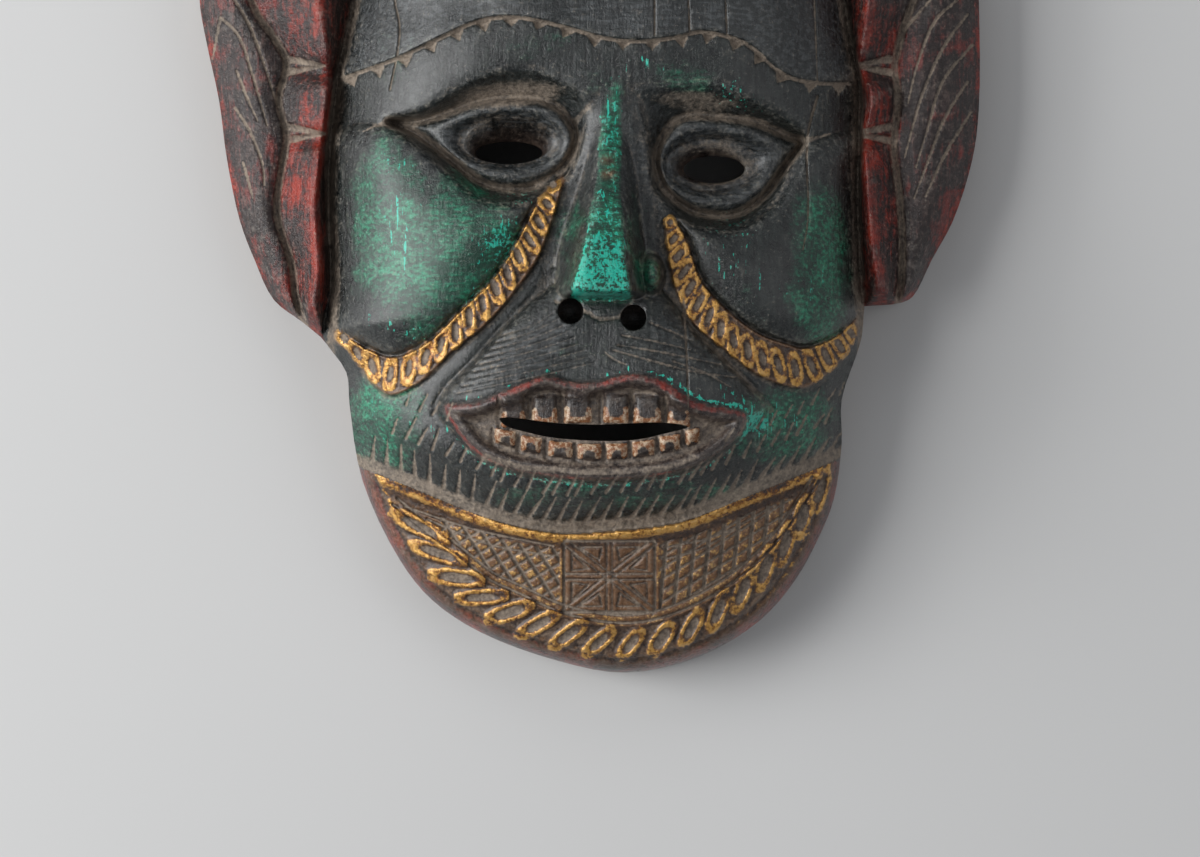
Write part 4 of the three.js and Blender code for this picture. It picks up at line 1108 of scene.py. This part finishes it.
def weathered(work, heights, outline_depth):
    """Paint rubbed off what stands proud, and dust gathered in what lies low."""
    proud = heights - blurred(heights, 36)
    on_front = smooth(0.5, 2.5, outline_depth)
    work.paint["worn"] = smooth(0.03, 0.3, proud) * on_front
    work.cover("dust", 0.55 * smooth(0.05, 0.45, -proud) * on_front)


def round_holes():
    """Centre and half sizes of the eye holes and nostrils."""
    radius = NOSTRIL["radius"]
    return [eye["rim"] for eye in EYES] + [(u, v, radius, radius) for u, v in NOSTRILS]


def front_triangles(work, heights, outline_depth):
    """The finest triangles within the budget; none are spent outside the outline or in a hole."""
    ramp = smooth(-3, 6, outline_depth)
    inside = np.where(outline_depth > -1.5, 1.0, 0.0)
    for u, v, a, b in round_holes():
        kept = smooth(0.75, 0.9, np.hypot((work.sheet.u - u) / a, (work.sheet.v - v) / b))
        ramp, inside = ramp * kept, inside * kept
    fields = [(heights, ramp)] + [(work.paint[name], PAINT_WEIGHT * inside) for name in SHARP_LAYERS]
    errors = stray_errors(fields, FINE_STEPS)
    tolerance = FINEST_TOLERANCE
    triangles = followed(errors, FINE_STEPS, tolerance)
    while len(triangles) > TRIANGLE_BUDGET:
        tolerance *= 1.05
        triangles = followed(errors, FINE_STEPS, tolerance)
    return triangles


def hollow_block(form, head):
    sheet = Sheet(BACK_STEPS)
    step = FORM_STEPS // BACK_STEPS
    ceiling = hollow_ceiling(sheet, form[::step, ::step], head[::step, ::step])
    errors = stray_errors([(ceiling, smooth(-5, -3, ceiling))], BACK_STEPS)
    return block("hollow", sheet, ceiling, followed(errors, BACK_STEPS, BACK_TOLERANCE), -12.0)


def pierced(body):
    for number, eye in enumerate(EYES):
        joined(body, eye_plug(number, eye), "DIFFERENCE")
    joined(body, prism("slit", curve(SLIT, True), 3, 110), "DIFFERENCE")
    wide = NOSTRIL["radius"]
    foot = wide - 0.8
    for u, v in NOSTRILS:
        plug = bore("nostril", [(NOSTRIL["bottom"], u, v, foot, foot), (95, u, v, wide, wide)], 24)
        joined(body, plug, "DIFFERENCE")


def build_mask():
    form_sheet = Sheet(FORM_STEPS)
    form, head, outline = large_form(form_sheet)
    sheet = Sheet(FINE_STEPS)
    times = FINE_STEPS // FORM_STEPS
    heights = blurred(form_sheet.finer(form, times), 2)
    head_depth = form_sheet.finer(head, times)
    outline_depth = form_sheet.finer(outline, times)
    work = carved(sheet, head_depth, outline_depth)
    heights = heights - work.cut + work.raised
    heights = heights + hand_wobble(sheet, 32, 1.2) + hand_wobble(sheet, 16, 0.45)
    weathered(work, heights, outline_depth)
    triangles = front_triangles(work, heights, outline_depth)
    body = block("carved_mask_painted", sheet, heights, triangles, 0.0)
    joined(body, prism("outline", outline_loop, -1, 120), "INTERSECT")
    joined(body, hollow_block(form, head), "DIFFERENCE")
    pierced(body)
    for sign in (-1, 1):
        joined(body, ear_wedge(sign), "DIFFERENCE")
    return placed(body, sheet, work, heights)


def throats(u, v):
    """One inside the eye holes, nostrils and mouth slit, nought away from them."""
    result = 0
    for u0, v0, a, b in round_holes() + [SLIT_REACH]:
        result = np.maximum(result, smooth(1.25, 1.1, np.hypot((u - u0) / a, (v - v0) / b)))
    return result


def placed(body, sheet, work, heights):
    """Stores the paint on the points, then draws the mask in with height and sets it in its place."""
    mesh = body.data
    count = len(mesh.vertices)
    co = np.empty(count * 3)
    mesh.vertices.foreach_get("co", co)
    u, v, z = co.reshape(-1, 3).T
    under = sampled(sheet, heights, u, v) - z
    throat = throats(u, v)
    for name in LAYERS:
        values = sampled(sheet, work.paint[name], u, v) * smooth(9, 2, under)
        # Deep in the eye holes, nostrils and slit this near-black layer is painted shade, darker the deeper
        # it lies under the front.
        if name == "dark_paint_and_hole_shade":
            values = np.maximum(values, 0.9 * smooth(6, 11, under) * throat)
        if name == "umber":
            values = np.maximum(values, smooth(1, 3, under) * smooth(30, 38, z))
        store(mesh, name, values)
    store(mesh, "bare", smooth(8, 11, under) * (1 - throat))
    depth = z / DRAFT_HEIGHT
    x = DRAFT_AXIS[0] + (u - DRAFT_AXIS[0]) * (1 - depth)
    y = DRAFT_AXIS[1] + (v - DRAFT_AXIS[1]) * (1 - depth)
    low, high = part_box("carved_mask")
    middle = (low + high) / 2
    x = x / 1000 + middle.x - (x.min() + x.max()) / 2000
    y = y / 1000 + middle.y - (y.min() + y.max()) / 2000
    z = (z - z.min()) / 1000 + low.z
    mesh.vertices.foreach_set("co", np.stack([x, y, z], 1).ravel())
    mesh.polygons.foreach_set("use_smooth", np.ones(len(mesh.polygons), bool))
    mesh.update()
    return body


def store(mesh, name, values):
    attribute = mesh.attributes.new(name, "FLOAT", "POINT")
    attribute.data.foreach_set("value", values.astype(np.float32))


# ---------------------------------------------------------------- materials
class Wire:
    """A shader value that takes part in Python expressions."""

    def __init__(self, shader, socket):
        self.shader = shader
        self.socket = socket

    def __add__(self, other):
        return self.shader.math("ADD", self, other)

    def __sub__(self, other):
        return self.shader.math("SUBTRACT", self, other)

    def __rsub__(self, other):
        return self.shader.math("SUBTRACT", other, self)

    def __mul__(self, other):
        return self.shader.math("MULTIPLY", self, other)

    __radd__ = __add__
    __rmul__ = __mul__


class Shader:
    """The node tree of one material, with a method that makes any node."""

    def __init__(self, name):
        self.material = bpy.data.materials.new(name)
        self.material.use_nodes = True
        self.tree = self.material.node_tree
        self.tree.nodes.clear()

    def node(self, kind, settings, inputs, output=0):
        made = self.tree.nodes.new("ShaderNode" + kind)
        for name, value in settings.items():
            setattr(made, name, value)
        for key, value in inputs.items():
            if isinstance(value, Wire):
                self.tree.links.new(value.socket, made.inputs[key])
            else:
                made.inputs[key].default_value = value
        return Wire(self, made.outputs[output])

    def place(self):
        return self.node("TexCoord", {}, {}, "Object")

    def layer(self, name):
        return self.node("Attribute", {"attribute_name": name}, {}, "Fac")

    def math(self, operation, *values):
        return self.node("Math", {"operation": operation}, dict(enumerate(values)))

    def noise(self, size, detail, roughness, stretch=(1, 1, 1), turn=0.0, distortion=0.0):
        """Noise whose blotches are about this many millimetres across, drawn out and turned in the plan."""
        where = self.node("Mapping", {}, {"Vector": self.place(), "Rotation": (0, 0, turn), "Scale": stretch})
        return self.node("TexNoise", {}, {"Vector": where, "Scale": 1000 / size, "Detail": detail,
                                          "Roughness": roughness, "Distortion": distortion}, "Fac")

    def step(self, value, low, high):
        return self.node("MapRange", {"interpolation_type": "SMOOTHSTEP"},
                         {"Value": value, "From Min": low, "From Max": high})

    def blend(self, base, top, amount):
        return self.node("Mix", {"data_type": "RGBA"}, {0: amount, 6: base, 7: top}, 2)

    def end(self, shader):
        output = self.tree.nodes.new("ShaderNodeOutputMaterial")
        self.tree.links.new(shader.socket, output.inputs["Surface"])


def rgb(red, green, blue):
    """A colour given in display values from 0 to 255."""
    linear = [((c / 255 + 0.055) / 1.055) ** 2.4 if c > 10 else c / 255 / 12.92 for c in (red, green, blue)]
    return (*linear, 1.0)


def painted_wood():
    s = Shader("painted_wood")
    fleck = s.noise(1.1, 4.0, 0.7) * 3.0 - 1.5
    crumb = s.noise(2.8, 6.0, 0.72, distortion=0.4) * 2.8 - 1.4
    patch = s.noise(13.0, 4.0, 0.6, distortion=0.6) * 2.4 - 1.2
    grain = s.noise(1.5, 4.0, 0.65, (1, 0.12, 1)) * 3.2 - 1.6
    brush = s.noise(1.1, 3.0, 0.6, (0.16, 1, 1), turn=0.9) * 3.6 - 1.8
    rough_edge = crumb * 0.6 + fleck * 0.4
    worn = s.layer("worn")

    colour = s.blend(rgb(10, 14, 14), rgb(40, 47, 45), s.step(grain * 0.5 + rough_edge * 0.5, -0.35, 0.5))
    # Grey with brush streaks: the real grey paint of cap, sockets and moustache, and a painted highlight of
    # sheen on the eye lids.
    slate_and_lid_sheen = s.step(s.layer("slate_and_lid_sheen") + rough_edge * 0.5 + grain * 0.4, 0.3, 1.1)
    streaked = s.blend(rgb(26, 30, 32), rgb(78, 82, 84), s.step(brush, -0.2, 0.5))
    colour = s.blend(colour, streaked, slate_and_lid_sheen * 0.8)
    green = s.step(s.layer("green") + patch * 0.35 + rough_edge * 0.35, 0.35, 0.95)
    shade = s.step(patch * 0.5 + brush * 0.4 + fleck * 0.4, -0.2, 0.6)
    colour = s.blend(colour, s.blend(rgb(4, 58, 42), rgb(26, 150, 112), shade), green)
    scratch = s.step(s.noise(1.0, 2.0, 0.5, (1, 0.07, 1), turn=0.35) * 2.4 - 1.2, 0.25, 0.4)
    blue = s.layer("turquoise") * 1.2 + patch * 0.22 + crumb * 0.32 + fleck * 0.45 + scratch * 0.4
    blue = s.step(blue, 0.76, 0.88)
    colour = s.blend(colour, rgb(22, 198, 172), blue * 0.86)
    umber = s.blend(rgb(40, 32, 30), rgb(92, 76, 66), s.step(rough_edge, -0.3, 0.5))
    colour = s.blend(colour, umber, s.layer("umber"))
    bark = s.blend(rgb(36, 27, 26), rgb(84, 66, 62), s.step(rough_edge + grain * 0.5, -0.2, 0.7))
    bark = s.blend(bark, rgb(136, 36, 27), s.step(patch * 0.8 + grain * 0.3 + fleck * 0.2, 0.0, 0.5) * 0.7)
    colour = s.blend(colour, bark, s.layer("maroon"))
    red = s.step(s.layer("red") + patch * 0.35 + grain * 0.2 + fleck * 0.25, 0.3, 0.8)
    mottle = s.step(patch * 0.7 + grain * 0.3 + fleck * 0.3, -0.3, 0.5)
    colour = s.blend(colour, s.blend(rgb(88, 20, 14), rgb(158, 46, 26), mottle), red * 0.92)
    ground = s.blend(rgb(44, 28, 20), rgb(112, 76, 42), s.step(rough_edge + worn * 0.6, -0.3, 0.7))
    colour = s.blend(colour, ground, s.layer("ground") * (1 - s.layer("red")))
    gold = s.step(s.layer("gold") * (0.75 + worn * 0.5) + patch * 0.2 + rough_edge * 0.8, 0.5, 0.8)
    glint = s.step(crumb * 0.6 + fleck * 0.4 + worn * 0.3, -0.1, 0.6)
    colour = s.blend(colour, s.blend(rgb(112, 60, 22), rgb(244, 188, 94), glint), gold)
    teeth = s.step(s.layer("ivory") * (0.8 + worn * 0.7) + rough_edge * 0.45, 0.55, 0.95)
    bone = s.blend(rgb(136, 84, 44), rgb(222, 196, 164), s.step(fleck + crumb * 0.5, -0.2, 0.5))
    colour = s.blend(colour, bone, teeth)
    colour = s.blend(colour, rgb(128, 126, 118), worn * s.step(rough_edge, -0.1, 0.4) * 0.4)
    speck = s.step(fleck, 0.34, 0.6) * 0.4
    colour = s.blend(colour, rgb(150, 142, 128), speck * (1 - s.layer("ground") * 0.5))
    colour = s.blend(colour, rgb(12, 12, 11), s.step(fleck, -0.34, -0.6) * 0.4)
    dust = s.step(s.layer("dust") + rough_edge * 0.42 + patch * 0.12, 0.42, 0.95)
    film = s.step(rough_edge + grain * 0.5 + patch * 0.3, 0.1, 0.9) * (0.24 - s.layer("maroon") * 0.14)
    dirt = s.blend(rgb(108, 97, 86), rgb(156, 142, 126), s.step(fleck * 0.6 + crumb * 0.5, -0.6, 0.6))
    colour = s.blend(colour, dirt, s.math("MAXIMUM", dust * 0.92, film))
    # Near-black: the dark paint of the teeth, and painted shade deep inside the holes.
    colour = s.blend(colour, rgb(9, 8, 7), s.layer("dark_paint_and_hole_shade"))
    wood = s.blend(rgb(88, 62, 42), rgb(140, 106, 74), s.step(grain + rough_edge * 0.5, -0.6, 0.6))
    colour = s.blend(colour, wood, s.layer("bare"))

    sheen = 0.30 + crumb * 0.10 + s.layer("bare") * 0.3 + dust * 0.4 + film * 0.4 + s.layer("maroon") * 0.05
    relief = grain * 0.3 + crumb * 0.45 + fleck * 0.25 + brush * 0.15
    bump = s.node("Bump", {}, {"Strength": 0.8, "Distance": 0.0005, "Height": relief})
    shader = s.node("BsdfPrincipled", {}, {
        "Base Color": colour, "Roughness": sheen, "Metallic": gold * 0.7 * (1 - dust), "Normal": bump,
        "Coat Weight": s.step(s.layer("maroon") + dust, 1.0, 0.0) * 0.4, "Coat Roughness": 0.32})
    s.end(shader)
    return s.material


def plain(name, colour, roughness):
    s = Shader(name)
    s.end(s.node("BsdfPrincipled", {}, {"Base Color": colour, "Roughness": roughness}))
    return s.material


# ---------------------------------------------------------------- setting
def pale_floor():
    bpy.ops.mesh.primitive_plane_add(size=3.2, location=(0, 0, 0))
    floor = bpy.context.object
    floor.name = "pale_floor"
    floor.data.materials.append(plain("pale_paper", rgb(205, 205, 204), 0.9))


def soft_light(name, place, target, size, power):
    light = bpy.data.lights.new(name, "AREA")
    light.shape = "RECTANGLE"
    light.size, light.size_y = size
    light.energy = power
    lamp = bpy.data.objects.new(name, light)
    lamp.location = place
    lamp.rotation_euler = (Vector(target) - Vector(place)).to_track_quat("-Z", "Y").to_euler()
    bpy.context.collection.objects.link(lamp)


def studio():
    soft_light("key", (-1.6, 0.0, 1.3), (0, 0, 0), (1.2, 1.2), 29)
    soft_light("upper", (-0.3, 1.6, 1.4), (0, 0.2, 0), (1.4, 1.0), 5)
    soft_light("side", (-1.2, 0.1, 0.5), (0, -0.03, 0.05), (0.9, 0.6), 9)
    soft_light("fill", (1.4, 0.0, 1.5), (0, 0, 0), (1.4, 1.4), 6.2)
    world = bpy.data.worlds.new("studio")
    world.use_nodes = True
    world.node_tree.nodes["Background"].inputs["Color"].default_value = (0.9, 0.93, 1.0, 1)
    world.node_tree.nodes["Background"].inputs["Strength"].default_value = 0.22
    bpy.context.scene.world = world


def camera():
    low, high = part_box("carved_mask")
    lens = bpy.data.cameras.new("camera")
    lens.lens = 100
    lens.sensor_width = 36
    eye = bpy.data.objects.new("camera", lens)
    eye.location = ((low.x + high.x) / 2 + 0.00325, (low.y + high.y) / 2 - 0.06715, DRAFT_HEIGHT / 1000)
    bpy.context.collection.objects.link(eye)
    bpy.context.scene.camera = eye


mask = build_mask()
mask.data.materials.clear()
mask.data.materials.append(painted_wood())
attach(mask, "root")
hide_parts("carved_mask")
pale_floor()
studio()
camera()
bpy.context.scene.view_settings.view_transform = "Standard"
